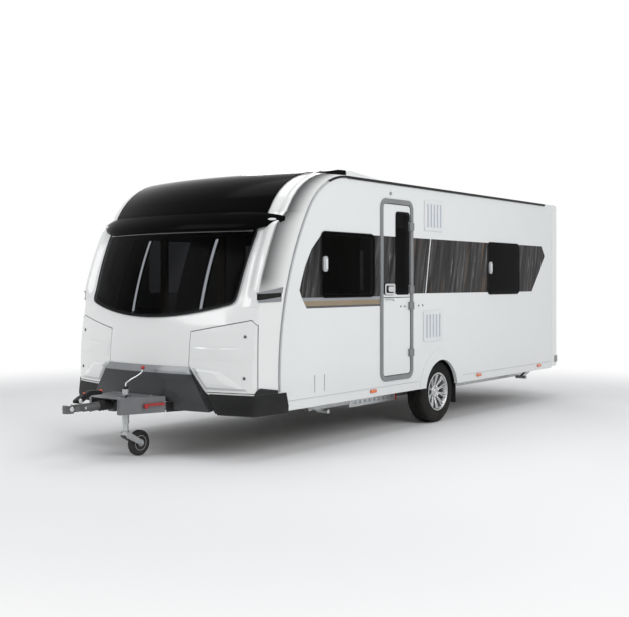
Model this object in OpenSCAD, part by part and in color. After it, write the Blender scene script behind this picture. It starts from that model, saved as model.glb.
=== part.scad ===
// Travel caravan, single axle, as an assembly of named pieces.
// Millimetres. +X points to the coupling, +Y to the door side, +Z up from the ground.
// The origin is on the ground, under the middle of the overall length and width.

/* [Body] */
// Width over the two side walls
body_w = 2280; // [2100:10:2400]
// Height of the roof's upper face
roof_z = 2500; // [2400:10:2600]
// Height of the side walls' lower edge
skirt_z = 395; // [370:5:410]
// Thickness of side walls and roof
wall_t = 30; // [24:1:36]
// Height of the floor's underside
floor_z = 500; // [480:5:520]
// Thickness of the floor
floor_t = 46; // [36:1:60]
// From the axle back to the rear face
rear_len = 3170; // [2900:10:3400]
// Depth of the rear panel, which wraps the corners
rear_depth = 330; // [300:10:420]
// Radius of the rear panel's top corner
rear_top_r = 260; // [200:10:290]
// Radius of the rear panel's upright corners
rear_plan_r = 220; // [180:10:280]
// Thickness of the furniture's boards
board_t = 16; // [12:1:20]

/* [Front] */
// From the axle forward to the foremost point of the side wall's front edge
front_len = 2775; // [2700:5:2900]
// Height of that foremost point
front_low_z = 700; // [640:10:760]
// Radius of the front's side view below the brow
front_low_r = 2800; // [2600:20:3200]
// Radius of the front's side view from the brow to the roof
front_top_r = 720; // [640:10:800]
// Depth of the front from the side wall's edge to the foremost point
front_depth = 472; // [440:4:500]
// Radius of the bow in plan beside the window
bow_r = 2900; // [2600:20:3300]
// Radius of the bow in plan beside the lockers
low_bow_r = 3300; // [2900:20:3600]
// From the side wall's face in to where the upper bow ends
cheek_w = 45; // [40:1:60]
// Radius of the corner beside the window
corner_r = 28; // [24:1:34]
// From the side wall's face in to where the lower bow ends
low_cheek_w = 50; // [45:1:60]
// Radius of the corner beside the lockers
low_corner_r = 36; // [30:1:38]
// Angle to which both corners turn before the flat cheek
cheek_a = 82; // [76:1:83]
// Depth of the flute beside the window
flute_d = 30; // [10:2:36]
// Thickness of the front and rear panels
front_t = 24; // [18:1:30]
// Gap between the front panel and its neighbours
panel_gap = 4; // [3:0.5:6]
// How far the nose stands out at its foot
nose_out = 58; // [40:2:70]

/* [Windows and doors] */
// Height of the side windows
win_h = 594; // [520:2:610]
// Width of the front side window
win_front_w = 862; // [780:2:880]
// Width of the rear side window
win_rear_w = 820; // [700:2:860]
// Thickness of the acrylic panes
pane_t = 10; // [6:1:14]
// Overlap of a pane over its hole
pane_lap = 26; // [18:1:34]
// Width of the entrance door's frame
door_w = 606; // [580:2:630]
// From the roof down to the top of the door's frame
door_drop = 168; // [150:2:200]
// Visible width of the door's frame
door_rim = 48; // [42:1:56]
// Gap round a leaf or locker door
leaf_gap = 7; // [6:0.5:9]

/* [Wheels and axle] */
// Radius of the tyres
tyre_r = 330; // [310:2:340]
// Width of the tyres
tyre_w = 205; // [185:5:215]
// Radius of the rims' outer lip
rim_r = 204; // [190:2:214]
// From the side wall's face in to the wheels' middle plane
wheel_inset = 145; // [140:1:165]
// Spokes in each rim
spokes = 10; // [8:1:12]
// Radius of the stub axles
stub_r = 22; // [18:1:26]
// Radius of the axle tube
axle_r = 58; // [50:1:62]
// Running clearance of a pin in its bore
running = 0.05; // [0.02:0.01:0.1]
// Room between tyre and wheel arch
arch_gap = 6; // [4:1:16]

/* [Chassis and drawbar] */
// From the side wall's face in to the chassis rails
rail_inset = 340; // [310:5:400]
// Lower edge of the chassis rails
rail_z = 290; // [280:5:320]
// Plate thickness of rails and arms
rail_t = 5; // [4:0.5:8]
// Height of the drawbar arms
arm_h = 72; // [60:2:76]
// From the front's foremost point to the coupling's tip
drawbar_len = 897; // [860:1:950]
// Height of the overrun tube's axis
hitch_z = 462; // [450:2:480]
// Diameter of the towing ball the coupling takes
ball_d = 50; // [48:1:52]
// Radius of the jockey wheel's inner tube
jockey_r = 24; // [20:1:28]
// Radius of the jockey wheel
jockey_wheel_r = 110; // [100:2:116]
// From the jockey tube back to its wheel's axle
jockey_trail = 150; // [130:5:180]
// Length of a corner steady's leg
steady_len = 416; // [380:4:420]
// Angle of a stowed leg below level
steady_a = 18; // [12:1:22]

/* [Hidden] */
half_w = body_w / 2;
inner_y = half_w - wall_t;
floor_top = floor_z + floor_t;
rear_join = -rear_len + rear_depth;

// Places given for the standard body, stretched with its width, its height and its length
function across(y) = y * half_w / 1140;
function height(z) = z < 500 ? z : floor_z + (z - 500) * (roof_z - floor_z) / 2000;
function along(x) = x * (x < 0 ? rear_len / 3170 : front_len / 2775);

// Side view of the front: two arcs that meet without a kink
low_cx = front_len - front_low_r;
top_cz = roof_z - front_top_r;
top_cx = low_cx + sqrt(pow(front_low_r - front_top_r, 2) - pow(top_cz - front_low_z, 2));
brow_a = atan2(top_cz - front_low_z, top_cx - low_cx);
brow_z = front_low_z + front_low_r * sin(brow_a);

// Plan of the front: bow, corner arc and cheek; R is the bow's radius, y0 its end, r the corner's
bow_y = half_w - cheek_w;
low_bow_y = half_w - low_cheek_w;
function bow_drop(y, R) = R - sqrt(R * R - y * y);
function arc_end(R, y0, r) = y0 + r * (sin(cheek_a) - y0 / R);
function arc_drop(R, y0, r, a) = bow_drop(y0, R) + r * (cos(asin(y0 / R)) - cos(a));
function arc_turn(y, R, y0, r) = asin(min(1, (y - y0) / r + y0 / R));
function plan_drop(y, R, y0, r) =
    let (y1 = arc_end(R, y0, r), d1 = arc_drop(R, y0, r, cheek_a))
    y <= y0 ? bow_drop(y, R) :
    y <= y1 ? arc_drop(R, y0, r, arc_turn(y, R, y0, r)) :
    d1 + (y - y1) * (front_depth - d1) / (half_w - y1);
function plan_turn(y, R, y0, r) =
    y <= y0 ? asin(y / R) : y <= arc_end(R, y0, r) ? arc_turn(y, R, y0, r) : cheek_a;

// Hollow flute between the window and the upper corner
flute_y = [half_w - 165, half_w - 55];
function flute(y) =
    y <= flute_y[0] || y >= flute_y[1] ? 0 :
    flute_d * pow(sin(180 * (y - flute_y[0]) / (flute_y[1] - flute_y[0])), 2);

// Share of the upper plan at a height; the ledge at the grab handles lies between the two
ledge_z = [height(1290), height(1440)];
function upper_part(z) = min(1, max(0, (z - ledge_z[0]) / (ledge_z[1] - ledge_z[0])));
function drop(y, z) =
    let (a = min(abs(y), half_w), w = upper_part(z))
    w * (plan_drop(a, bow_r, bow_y, corner_r) + flute(a))
    + (1 - w) * plan_drop(a, low_bow_r, low_bow_y, low_corner_r);
function turn(y, z) =
    let (a = min(abs(y), half_w), w = upper_part(z))
    sign(y) * (w * plan_turn(a, bow_r, bow_y, corner_r)
    + (1 - w) * plan_turn(a, low_bow_r, low_bow_y, low_corner_r));

// Point of the side view at a normal angle
function profile(a) =
    a <= brow_a ? [low_cx + front_low_r * cos(a), front_low_z + front_low_r * sin(a)] :
    [top_cx + front_top_r * cos(a), top_cz + front_top_r * sin(a)];

// Normal angle of the side view at a height
function angle_at(z) =
    z <= brow_z ? asin((z - front_low_z) / front_low_r) :
    asin(min(1, (z - top_cz) / front_top_r));

// Outward direction on the front; at the side wall it points sideways, and up where the roof begins
function skin_normal(y, z, a) =
    let (t = turn(y, z), b = max(0, a - 75) * 6)
    abs(y) >= half_w ? [0, sign(y) * cos(b), sin(b)] :
    let (n = [cos(t) * cos(a), sin(t) * cos(a), cos(t) * sin(a)]) n / norm(n);

// Point of the front's surface, moved out by e; past the half width it runs back along the side
function skin(y, a, e) =
    let (p = profile(a))
    [p[0] + front_depth - drop(y, p[1]) - max(0, abs(y) - half_w),
        sign(y) * min(abs(y), half_w), p[1]] + e * skin_normal(y, p[1], a);

// Columns across the front, the same for every piece laid on it: bow, flute and corner
bow_steps = 6;
half_cols = concat(
    [for (i = [1 : bow_steps]) (half_w - 190) * i / bow_steps],
    [for (d = [165, 140, 115, 90, 65]) half_w - d],
    [for (i = [0 : 3]) low_bow_y + (arc_end(low_bow_r, low_bow_y, low_corner_r) - low_bow_y) * i / 3],
    [half_w]);
n_half = len(half_cols);
cols = concat([for (i = [0 : n_half - 1]) -half_cols[n_half - 1 - i]], [0], half_cols);
function cols_between(a, b) = concat([a], [for (y = cols) if (y > a + 1 && y < b - 1) y], [b]);

// Rows up the front, as normal angles
function rows(z0, z1, n) = [for (i = [0 : n]) angle_at(z0) + (angle_at(z1) - angle_at(z0)) * i / n];
function flat(v, n) = [for (i = [1 : n]) v];

// Foremost point, coupling and middle of the whole
front_x = front_len + front_depth;
tip_x = front_x + drawbar_len;
rear_trim = 20;
mid_x = (tip_x - rear_len - rear_trim) / 2;

// Wheels, chassis and drawbar
wheel_y = half_w - wheel_inset;
wheel_z = tyre_r;
arch_r = tyre_r + arch_gap;
rail_y = half_w - rail_inset;
arm_z = hitch_z - 66;
arm_x = [along(1850), front_x + 413];
arm_y = [rail_y - 10, 150];
arm_a = atan2(arm_y[1] - arm_y[0], arm_x[1] - arm_x[0]);
arm_len = norm([arm_x[1] - arm_x[0], arm_y[1] - arm_y[0]]);
notch_y = arm_y[1] + (arm_x[1] - front_x + 90) * -tan(arm_a) + 54;
notch_z = arm_z + arm_h + 8;
axle_at = [165, tyre_r + 42];
jockey_at = [front_x + 293, 76];
jockey_axle_z = jockey_wheel_r;
jockey_pin_r = 14;
jockey_crown_z = jockey_wheel_r + 86;
steady_pivot_z = 428;
steady_x = [along(2270), along(-2750)];
steady_y = half_w - 200;
ball_x = tip_x - 46;

// Side windows and door
win_z = height(1368);
win_front_x = along(1305);
win_rear_x = along(-1871);
win_kitchen = [along(-60), 700];
door_x = along(592);
door_z = floor_z + 26;
door_h = roof_z - door_drop - door_z;
door_split = height(1352);
leaf_x = [door_x + door_rim + leaf_gap, door_x + door_w - door_rim - leaf_gap];
leaf_z = [door_z + door_rim + leaf_gap, door_z + door_h - door_rim - leaf_gap];
door_pin = [door_x + 20, half_w + 22];
door_win = [leaf_x[0] + 14, door_split + 26, 264, leaf_z[1] - 65 - door_split - 26];
hinge_z = [height(1392), height(2030), height(750), height(1226)];

// Front lockers
locker_in = across(504);
locker_pin_y = locker_in - 14;
locker_pin_x = skin(locker_in, angle_at(height(850)), 6)[0];
locker_out = half_w - 26;
locker_reach = norm([skin(locker_out, angle_at(height(850)), 0)[0] - locker_pin_x,
    locker_out - locker_pin_y]);
locker_t = 12;

module from_axle() translate([-mid_x, 0, 0]) children();

module both_sides() {
    children();
    mirror([0, 1, 0]) children();
}

// A plate drawn in side view (x, z), with its outer face at y
module side_plate(y, t) translate([0, y, 0]) rotate([90, 0, 0]) linear_extrude(t) children();

// A bar drawn in front view (y, z), from x0 to x1
module front_bar(x0, x1) translate([x0, 0, 0]) rotate([90, 0, 90]) linear_extrude(x1 - x0) children();

module box(a, b) translate(a) cube([b[0] - a[0], b[1] - a[1], b[2] - a[2]]);

module pin_x(x0, x1, z, r) translate([x0, 0, z]) rotate([0, 90, 0]) cylinder(h = x1 - x0, r = r, $fn = 64);

module pin_y(x, z, y0, y1, r)
    translate([x, y1, z]) rotate([90, 0, 0]) cylinder(h = y1 - y0, r = r, $fn = 64);

module round_rect(x0, z0, w, h, r) {
    translate([x0 + r, z0]) square([w - 2 * r, h]);
    translate([x0, z0 + r]) square([w, h - 2 * r]);
    for (x = [x0 + r, x0 + w - r], z = [z0 + r, z0 + h - r])
        translate([x, z]) circle(r, $fn = 48);
}

// Two discs and the straight web between them
module link(p, r, q, s) {
    d = norm(q - p);
    a = atan2(q[1] - p[1], q[0] - p[0]);
    b = acos((r - s) / d);
    translate(p) circle(r, $fn = 48);
    translate(q) circle(s, $fn = 48);
    polygon([p + r * [cos(a + b), sin(a + b)], p + r * [cos(a - b), sin(a - b)],
        q + s * [cos(a - b), sin(a - b)], q + s * [cos(a + b), sin(a + b)]]);
}

// Shell laid on the front: columns ys, rows angles, outer and inner offsets row by row;
// taper thins the outer face towards the last column
module skin_patch(ys, angles, outs, ins, taper = 0) {
    nc = len(ys);
    nr = len(angles);
    n = nc * nr;
    points = concat(
        [for (i = [0 : nr - 1]) for (y = ys)
            skin(y, angles[i], outs[i] - taper * (y - ys[0]) / (ys[nc - 1] - ys[0]))],
        [for (i = [0 : nr - 1]) for (y = ys) skin(y, angles[i], ins[i])]);
    t = (nr - 1) * nc;
    e = nc - 1;
    quads = concat(
        [for (i = [0 : nr - 2], j = [0 : nc - 2])
            [i * nc + j, (i + 1) * nc + j, (i + 1) * nc + j + 1, i * nc + j + 1]],
        [for (i = [0 : nr - 2], j = [0 : nc - 2])
            [n + i * nc + j + 1, n + (i + 1) * nc + j + 1, n + (i + 1) * nc + j, n + i * nc + j]],
        [for (j = [0 : nc - 2]) [j, j + 1, n + j + 1, n + j]],
        [for (j = [0 : nc - 2]) [t + j + 1, t + j, n + t + j, n + t + j + 1]],
        [for (i = [0 : nr - 2]) [(i + 1) * nc, i * nc, n + i * nc, n + (i + 1) * nc]],
        [for (i = [0 : nr - 2])
            [i * nc + e, (i + 1) * nc + e, n + (i + 1) * nc + e, n + i * nc + e]]);
    polyhedron(points, [for (q = quads) each [[q[0], q[1], q[2]], [q[0], q[2], q[3]]]]);
}

// Everything behind the front's side view, moved back by g
module behind_front(g) {
    far = 2 * rear_len;
    intersection() {
        union() {
            translate([low_cx, front_low_z]) circle(front_low_r - g, $fn = 256);
            translate([low_cx - far, 0]) square([far, roof_z]);
        }
        translate([-far, 0]) square([2 * far, brow_z]);
    }
    intersection() {
        union() {
            translate([top_cx, top_cz]) circle(front_top_r - g, $fn = 128);
            translate([top_cx - far, 0]) square([far, roof_z]);
        }
        translate([-far, brow_z]) square([2 * far, roof_z]);
    }
}

module window_outline(x, w, inset)
    round_rect(x + inset, win_z + inset, w - 2 * inset, win_h - 2 * inset, 60 - inset);

arch_z = wheel_z + 8;

module side_wall_outline() {
    difference() {
        intersection() {
            behind_front(panel_gap);
            translate([rear_join + panel_gap, skirt_z])
                square([2 * rear_len, roof_z - wall_t - skirt_z]);
        }
        translate([0, arch_z]) circle(arch_r, $fn = 96);
        translate([-arch_r, 0]) square([2 * arch_r, arch_z]);
        window_outline(win_front_x, win_front_w, pane_lap);
        window_outline(win_rear_x, win_rear_w, pane_lap);
    }
}

module arch_moulding() {
    intersection() {
        difference() {
            translate([0, arch_z]) circle(arch_r + 120, $fn = 96);
            translate([0, arch_z]) circle(arch_r, $fn = 96);
            translate([-arch_r, 0]) square([2 * arch_r, arch_z]);
        }
        translate([-1000, skirt_z]) square([2000, 1000]);
    }
}

module door_outline(inset)
    round_rect(door_x + inset, door_z + inset, door_w - 2 * inset, door_h - 2 * inset, 95 - inset);

module side_wall() {
    difference() {
        union() {
            side_plate(half_w, wall_t) side_wall_outline();
            side_plate(half_w + 7, 10) arch_moulding();
        }
        side_plate(half_w + 20, wall_t + 40) children();
    }
}

module side_wall_left() color("white") from_axle() side_wall() door_outline(20);

module side_wall_right() color("white") from_axle() mirror([0, 1, 0])
    side_wall() window_outline(win_kitchen[0], win_kitchen[1], pane_lap);

module roof() color("white") from_axle()
    translate([0, 0, roof_z - wall_t]) linear_extrude(wall_t)
        polygon(concat([for (y = cols) [skin(y, 90, 0)[0] - panel_gap, y]],
            [[rear_join + panel_gap, half_w], [rear_join + panel_gap, -half_w]]));

wheel_box_r = tyre_r + 60;
wheel_box_y = wheel_y - tyre_w / 2 - 24;

module floor() color("tan") from_axle()
    translate([0, 0, floor_z]) linear_extrude(floor_t) difference() {
        y = inner_y - 2;
        polygon(concat([[front_len - 85, -y]],
            [for (y = cols_between(-across(1050), across(1050)))
                [skin(y, angle_at(floor_z), 0)[0] - 70, y]],
            [[front_len - 85, y], [rear_join - 60, y], [rear_join - 60, -y]]));
        for (s = [-1, 1]) translate([0, s * half_w])
            square([2 * wheel_box_r + 40, 2 * (half_w - wheel_box_y + 8)], center = true);
    }

// Outline of the front window in front view
module front_window_outline(inset) {
    offset(r = 70 - inset) offset(delta = -70) polygon(concat(
        [for (i = [-8 : 8]) [across(i * 112), height(1196 + 2 * i * i)]],
        [[across(942), height(1990)], [across(-942), height(1990)]]));
}

module locker_outline() polygon([[locker_in, height(790)], [locker_in, height(1076)],
    [across(1060), height(1180)], [across(1106), height(1140)], [across(1300), height(1140)],
    [across(1300), height(574)], [across(670), height(574)]]);

// Space that a locker door fills, grown by g all round; its outer edge is round about the hinge
module locker_space(g) intersection() {
    front_bar(front_len - 400, front_x + 300) offset(delta = g) locker_outline();
    translate([locker_pin_x, locker_pin_y, 0]) cylinder(h = roof_z, r = locker_reach + g, $fn = 96);
}

// Room for the drawbar under the nose
module drawbar_notch()
    box([front_len, -notch_y, 0], [front_x + 300, notch_y, notch_z]);

front_rows = concat(
    [for (z = [415, 560, 700, 850, 1000, 1150, 1290, 1365, 1440, 1600, 1760, 1920, 2050])
        if (height(z) < brow_z - 40) angle_at(height(z))],
    [for (i = [0 : 7]) brow_a + (90 - brow_a) * i / 7]);

module front_panel() color("white") from_axle() difference() {
    skin_patch(cols, front_rows, flat(0, len(front_rows)), flat(-front_t, len(front_rows)));
    front_bar(front_len - 700, front_x + 300) front_window_outline(pane_lap);
    both_sides() locker_space(leaf_gap);
    drawbar_notch();
}

module front_window() color("black") from_axle() intersection() {
    skin_patch(cols_between(-across(1000), across(1000)), rows(height(1150), height(2010), 6),
        flat(5 + pane_t, 7), flat(5, 7));
    front_bar(front_len - 700, front_x + 300) front_window_outline(0);
}

// Black panel from the visor to the roof
module front_top_panel() color("black") from_axle()
    skin_patch(cols_between(-across(970), across(970)), rows(height(2132), roof_z, 8),
        flat(14, 9), flat(6, 9));

// Visor lofted along the bow, thinning to its tips
module front_visor() color("black") from_axle() {
    zc = height(2060);
    x = profile(angle_at(zc))[0] + front_depth - bow_r;
    section = [[84, 1958], [96, 1980], [90, 2016], [58, 2070], [14, 2116], [2, 2116], [34, 2050],
        [62, 1990]];
    half = [160, 320, 480, 640, 800, 900, 980, 1050, 1100, 1136];
    ys = concat([for (i = [9 : -1 : 0]) -across(half[i])], [0], [for (y = half) across(y)]);
    n = len(section);
    m = len(ys);
    points = [for (y = ys) for (p = section)
        let (t = asin(y / bow_r), k = 1 - 0.75 * pow(max(0, abs(y) - across(800)) / across(336), 2),
            r = bow_r + 20 + (p[0] - 20) * k)
        [x + r * cos(t), r * sin(t), zc + (height(p[1]) - zc) * k]];
    quads = [for (j = [0 : m - 2], i = [0 : n - 1])
        [j * n + i, j * n + (i + 1) % n, (j + 1) * n + (i + 1) % n, (j + 1) * n + i]];
    polyhedron(points, concat([for (q = quads) each [[q[0], q[2], q[1]], [q[0], q[3], q[2]]]],
        [[for (i = [0 : n - 1]) i], [for (i = [n - 1 : -1 : 0]) (m - 1) * n + i]]));
}

module front_nose() color("gray") from_axle() difference() {
    intersection() {
        skin_patch(cols_between(-across(800), across(800)), rows(412, height(776), 6),
            [for (k = [1, 1, 0.86, 0.69, 0.52, 0.48, 0.14]) k * nose_out], flat(5, 7));
        front_bar(front_len, front_x + 300) polygon([[-across(495), height(790)],
            [across(495), height(790)], [across(745), 400], [-across(745), 400]]);
    }
    drawbar_notch();
}

module front_bumpers() color("black") from_axle() both_sides() intersection() {
    skin_patch(concat(cols_between(across(640), half_w), [half_w + 50, half_w + 100]),
        rows(382, height(556), 3), [18, 26, 18, 8], flat(4, 4));
    front_bar(front_len - 400, front_x + 300) polygon([[across(790), 370],
        [across(706), height(560)], [across(1400), height(560)], [across(1400), 370]]);
}

module locker_door() intersection() {
    skin_patch(cols_between(across(440), half_w - 4), rows(height(540), height(1200), 5),
        flat(0, 6), flat(-locker_t, 6));
    locker_space(0);
}

module locker_door_left() color("white") from_axle() locker_door();

module locker_door_right() color("white") from_axle() mirror([0, 1, 0]) locker_door();

// Plan of the rear corners and side view of the rear, both moved in by g
module rear_plan(g) intersection() {
    round_rect(-rear_len + g, -half_w + g, 2 * rear_len, body_w - 2 * g, rear_plan_r - g);
    translate([-2 * rear_len, -half_w]) square([2 * rear_len + rear_join, body_w]);
}

module rear_side(g) {
    translate([-rear_len + g, 0]) square([2 * rear_len, roof_z - rear_top_r]);
    translate([-rear_len + rear_top_r, 0]) square([2 * rear_len, roof_z - g]);
    translate([-rear_len + rear_top_r, roof_z - rear_top_r]) circle(rear_top_r - g, $fn = 96);
}

module rear_block(g, z) intersection() {
    translate([0, 0, z]) linear_extrude(roof_z) rear_plan(g);
    side_plate(half_w, body_w) rear_side(g);
}

module rear_panel() color("white") from_axle() difference() {
    rear_block(0, skirt_z + 20);
    rear_block(front_t, skirt_z - 100);
    box([rear_join - front_t - 5, -half_w + front_t, 0], [rear_join + 5, half_w - front_t, roof_z - front_t]);
}

module rear_lamps() color("red") from_axle() both_sides()
    box([-rear_len - 14, across(600), height(640)], [-rear_len - 1, across(830), height(970)]);

module rear_bumper() color("gray") from_axle()
    box([-rear_len - rear_trim, -across(850), 430], [-rear_len - 1, across(850), height(560)]);

module side_windows() color("black") from_axle() {
    for (s = [0, 1]) mirror([0, s, 0]) side_plate(half_w + 1 + pane_t, pane_t) {
        window_outline(win_front_x, win_front_w, 0);
        window_outline(win_rear_x, win_rear_w, 0);
        if (s == 1) window_outline(win_kitchen[0], win_kitchen[1], 0);
    }
}

module door_frame() color("gray") from_axle() difference() {
    union() {
        side_plate(half_w + 11, 10) door_outline(0);
        side_plate(half_w + 2, wall_t + 8) door_outline(21);
    }
    side_plate(half_w + 60, wall_t + 120) door_outline(door_rim);
}

module leaf(z0, z1) intersection() {
    side_plate(half_w + 2, wall_t)
        round_rect(leaf_x[0], leaf_z[0], leaf_x[1] - leaf_x[0], leaf_z[1] - leaf_z[0], 40);
    box([0, 0, z0], [2 * front_len, 2 * half_w, z1]);
}

// Strap from a leaf's face out to its hinge pin
module door_hinge(z) {
    translate([door_pin[0], door_pin[1], z]) cylinder(h = 76, r = 9, $fn = 48);
    box([door_pin[0], door_pin[1] - 3, z], [leaf_x[0] + 34, door_pin[1] + 3, z + 76]);
    box([leaf_x[0] + 8, half_w - 2, z], [leaf_x[0] + 34, door_pin[1] + 3, z + 76]);
}

module door_upper() color("white") from_axle() {
    difference() {
        leaf(door_split + leaf_gap / 2, roof_z);
        side_plate(half_w + 20, wall_t + 40) round_rect(door_win[0] + pane_lap,
            door_win[1] + pane_lap, door_win[2] - 2 * pane_lap, door_win[3] - 2 * pane_lap, 20);
    }
    door_hinge(hinge_z[0]);
    door_hinge(hinge_z[1]);
}

module door_lower() color("white") from_axle() {
    leaf(0, door_split - leaf_gap / 2);
    door_hinge(hinge_z[2]);
    door_hinge(hinge_z[3]);
}

module door_window() color("black") from_axle() difference() {
    side_plate(half_w + 9, 6) round_rect(door_win[0], door_win[1], door_win[2], door_win[3], 40);
    for (i = [0, 1])
        box([0, half_w, hinge_z[i] - 5], [leaf_x[0] + 40, half_w + 40, hinge_z[i] + 81]);
}

module door_handle() color("black") from_axle() {
    x = leaf_x[1] - 203;
    z = door_split + 24;
    side_plate(half_w + 8, 5) round_rect(x, z, 190, 116, 24);
    side_plate(half_w + 24, 17) round_rect(x + 20, z + 34, 120, 52, 20);
}

module awning_rails() color("black") from_axle() both_sides() side_plate(half_w + 12, 11) {
    intersection() {
        difference() {
            behind_front(panel_gap);
            behind_front(panel_gap + 18);
        }
        translate([0, height(570)]) square([2 * front_len, roof_z]);
    }
    translate([along(-2609), roof_z - 28]) square([top_cx - along(-2609), 28 - panel_gap]);
}

// Raised edges behind the front panel, wedges in side view
module roof_fairings() color("white") from_axle() both_sides() side_plate(across(1122), 120)
    polygon([for (p = [[-6, 0.5], [-16, 46], [-70, 54], [-560, 8], [-564, 0.5]])
        [top_cx + p[0], roof_z + p[1]]]);

// Raised sunroof at the front and a smaller rooflight behind it, both open below
module rooflights() color("black") from_axle() {
    w = across(600);
    difference() {
        side_plate(w, 2 * w) polygon([for (p = [[1000, 0.5], [1720, 0.5], [1700, 22], [1440, 108],
            [1060, 96], [1004, 40]]) [along(p[0]), roof_z + p[1]]]);
        side_plate(w - 6, 2 * w - 12) polygon([for (p = [[1012, -1], [1690, -1], [1680, 16],
            [1436, 98], [1066, 88], [1012, 40]]) [along(p[0]), roof_z + p[1]]]);
    }
    difference() {
        box([along(-760), -350, roof_z + 0.5], [along(-60), 350, roof_z + 90]);
        box([along(-760) + 6, -344, roof_z], [along(-60) - 6, 344, roof_z + 84]);
    }
}

module vent(x, z) difference() {
    side_plate(half_w + 9, 8) round_rect(x, z, 395, 322, 24);
    for (i = [0 : 4])
        box([x + 52 + i * 66, half_w + 4, z + 40], [x + 78 + i * 66, half_w + 20, z + 282]);
}

module fridge_vents() color("white") from_axle() {
    vent(along(-28), height(2042));
    vent(along(-8), height(884));
}

module side_markers() color("orange") from_axle() both_sides()
    for (x = [1323, -834, -2444])
        box([along(x) - 50, half_w + 0.5, skirt_z + 41], [along(x) + 50, half_w + 14, skirt_z + 71]);

// Wedge bent round the corner, thinning to the side wall
module grab_handles() color("gray") from_axle() both_sides()
    skin_patch(cols_between(across(966), half_w - 6), rows(height(1376), height(1436), 2),
        [40, 48, 34], flat(5, 3), 28);

// Wheel boxes, open to the wheel, and the flaps that hang behind them
module wheel_boxes() color("black") from_axle() both_sides() {
    difference() {
        pin_y(0, arch_z, wheel_box_y, inner_y - 1, wheel_box_r);
        pin_y(0, arch_z, wheel_box_y + 5, half_w, wheel_box_r - 5);
        box([-2 * wheel_box_r, 0, -wheel_box_r], [2 * wheel_box_r, half_w, skirt_z + 10]);
    }
    box([-wheel_box_r - 6, wheel_y - 95, skirt_z - 220], [-wheel_box_r - 1, wheel_y + 95, skirt_z + 60]);
}

module tyre() rotate([-90, 0, 0]) rotate_extrude($fn = 96) polygon([
    [rim_r - 6, -tyre_w / 2 + 10], [rim_r + 30, -tyre_w / 2 + 2], [rim_r + 62, -tyre_w / 2],
    [tyre_r - 34, -tyre_w / 2 + 6], [tyre_r - 10, -tyre_w / 2 + 18], [tyre_r, -tyre_w / 2 + 40],
    [tyre_r, tyre_w / 2 - 40], [tyre_r - 10, tyre_w / 2 - 18], [tyre_r - 34, tyre_w / 2 - 6],
    [rim_r + 62, tyre_w / 2], [rim_r + 30, tyre_w / 2 - 2], [rim_r - 6, tyre_w / 2 - 10]]);

// Alloy rim with its drum; +Z of the drawing is the outside
module rim() rotate([-90, 0, 0]) {
    w = tyre_w / 2 - 10;
    rotate_extrude($fn = 96) polygon([[rim_r - 26, -w], [rim_r - 6.5, -w], [rim_r - 6.5, w + 4],
        [rim_r, w + 5], [rim_r, w + 9], [rim_r - 16, w + 9], [rim_r - 26, w - 20]]);
    difference() {
        union() {
            translate([0, 0, -70]) cylinder(h = 60, r = 128, $fn = 96);
            translate([0, 0, -20]) cylinder(h = 100, r = 62, $fn = 64);
            for (i = [0 : spokes - 1]) rotate([0, 0, 360 * i / spokes])
                translate([50, -11, 62]) cube([rim_r - 68, 22, 26]);
        }
        translate([0, 0, -100]) cylinder(h = 150, r = stub_r + running, $fn = 64);
    }
}

module at_wheel() translate([-mid_x, wheel_y, wheel_z]) children();

module tyre_left() color("black") at_wheel() tyre();
module tyre_right() color("black") mirror([0, 1, 0]) at_wheel() tyre();
module rim_left() color("silver") at_wheel() rim();
module rim_right() color("silver") mirror([0, 1, 0]) at_wheel() rim();

module axle_tube() color("silver") from_axle() difference() {
    pin_y(axle_at[0], axle_at[1], -rail_y - 30, rail_y + 30, axle_r);
    pin_y(axle_at[0], axle_at[1], -rail_y - 40, rail_y + 40, axle_r - 6);
}

module trailing_arms() color("silver") from_axle() both_sides() {
    side_plate(rail_y + 62, 28) link(axle_at, 52, [0, wheel_z], 42);
    pin_y(axle_at[0], axle_at[1], rail_y - 60, rail_y + 50, axle_r - 6.5);
    pin_y(0, wheel_z, rail_y + 50, wheel_y + 40, stub_r);
}

// Channel drawn in front view: outer face at y, open to the middle
module channel(y, z0, z1, w, t) difference() {
    translate([y - w, z0]) square([w, z1 - z0]);
    translate([y - w - 1, z0 + t]) square([w - t + 1, z1 - z0 - 2 * t]);
}

module chassis_rail() {
    difference() {
        front_bar(along(-2800), along(1900)) channel(rail_y, rail_z, floor_z - 0.5, 55, rail_t);
        for (x = [-2500 : 250 : 1700]) if (abs(x - axle_at[0]) > 120)
            pin_y(along(x), rail_z + 62, 0, half_w, 24);
        pin_y(axle_at[0], axle_at[1], 0, half_w, axle_r + 0.5);
    }
    translate([arm_x[0], arm_y[0], arm_z]) rotate([0, 0, arm_a]) translate([-20, -28, 0])
        difference() {
            cube([arm_len + 20, 34, arm_h]);
            translate([30, -1, rail_t]) cube([arm_len, 34 - rail_t, arm_h - 2 * rail_t]);
        }
}

module chassis_rail_left() color("silver") from_axle() chassis_rail();

module chassis_rail_right() color("silver") from_axle() mirror([0, 1, 0]) chassis_rail();

module cross_members() color("silver") from_axle()
    for (x = [along(-2600), along(-1300), along(900), along(1700)]) difference() {
        box([x - 25, -rail_y + 56, floor_z - 80], [x + 25, rail_y - 56, floor_z - 0.5]);
        box([x - 21, -rail_y + 50, floor_z - 90], [x + 21, rail_y - 50, floor_z - 4.5]);
    }

tube_r = 25;
arm_top = arm_z + arm_h;

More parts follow.
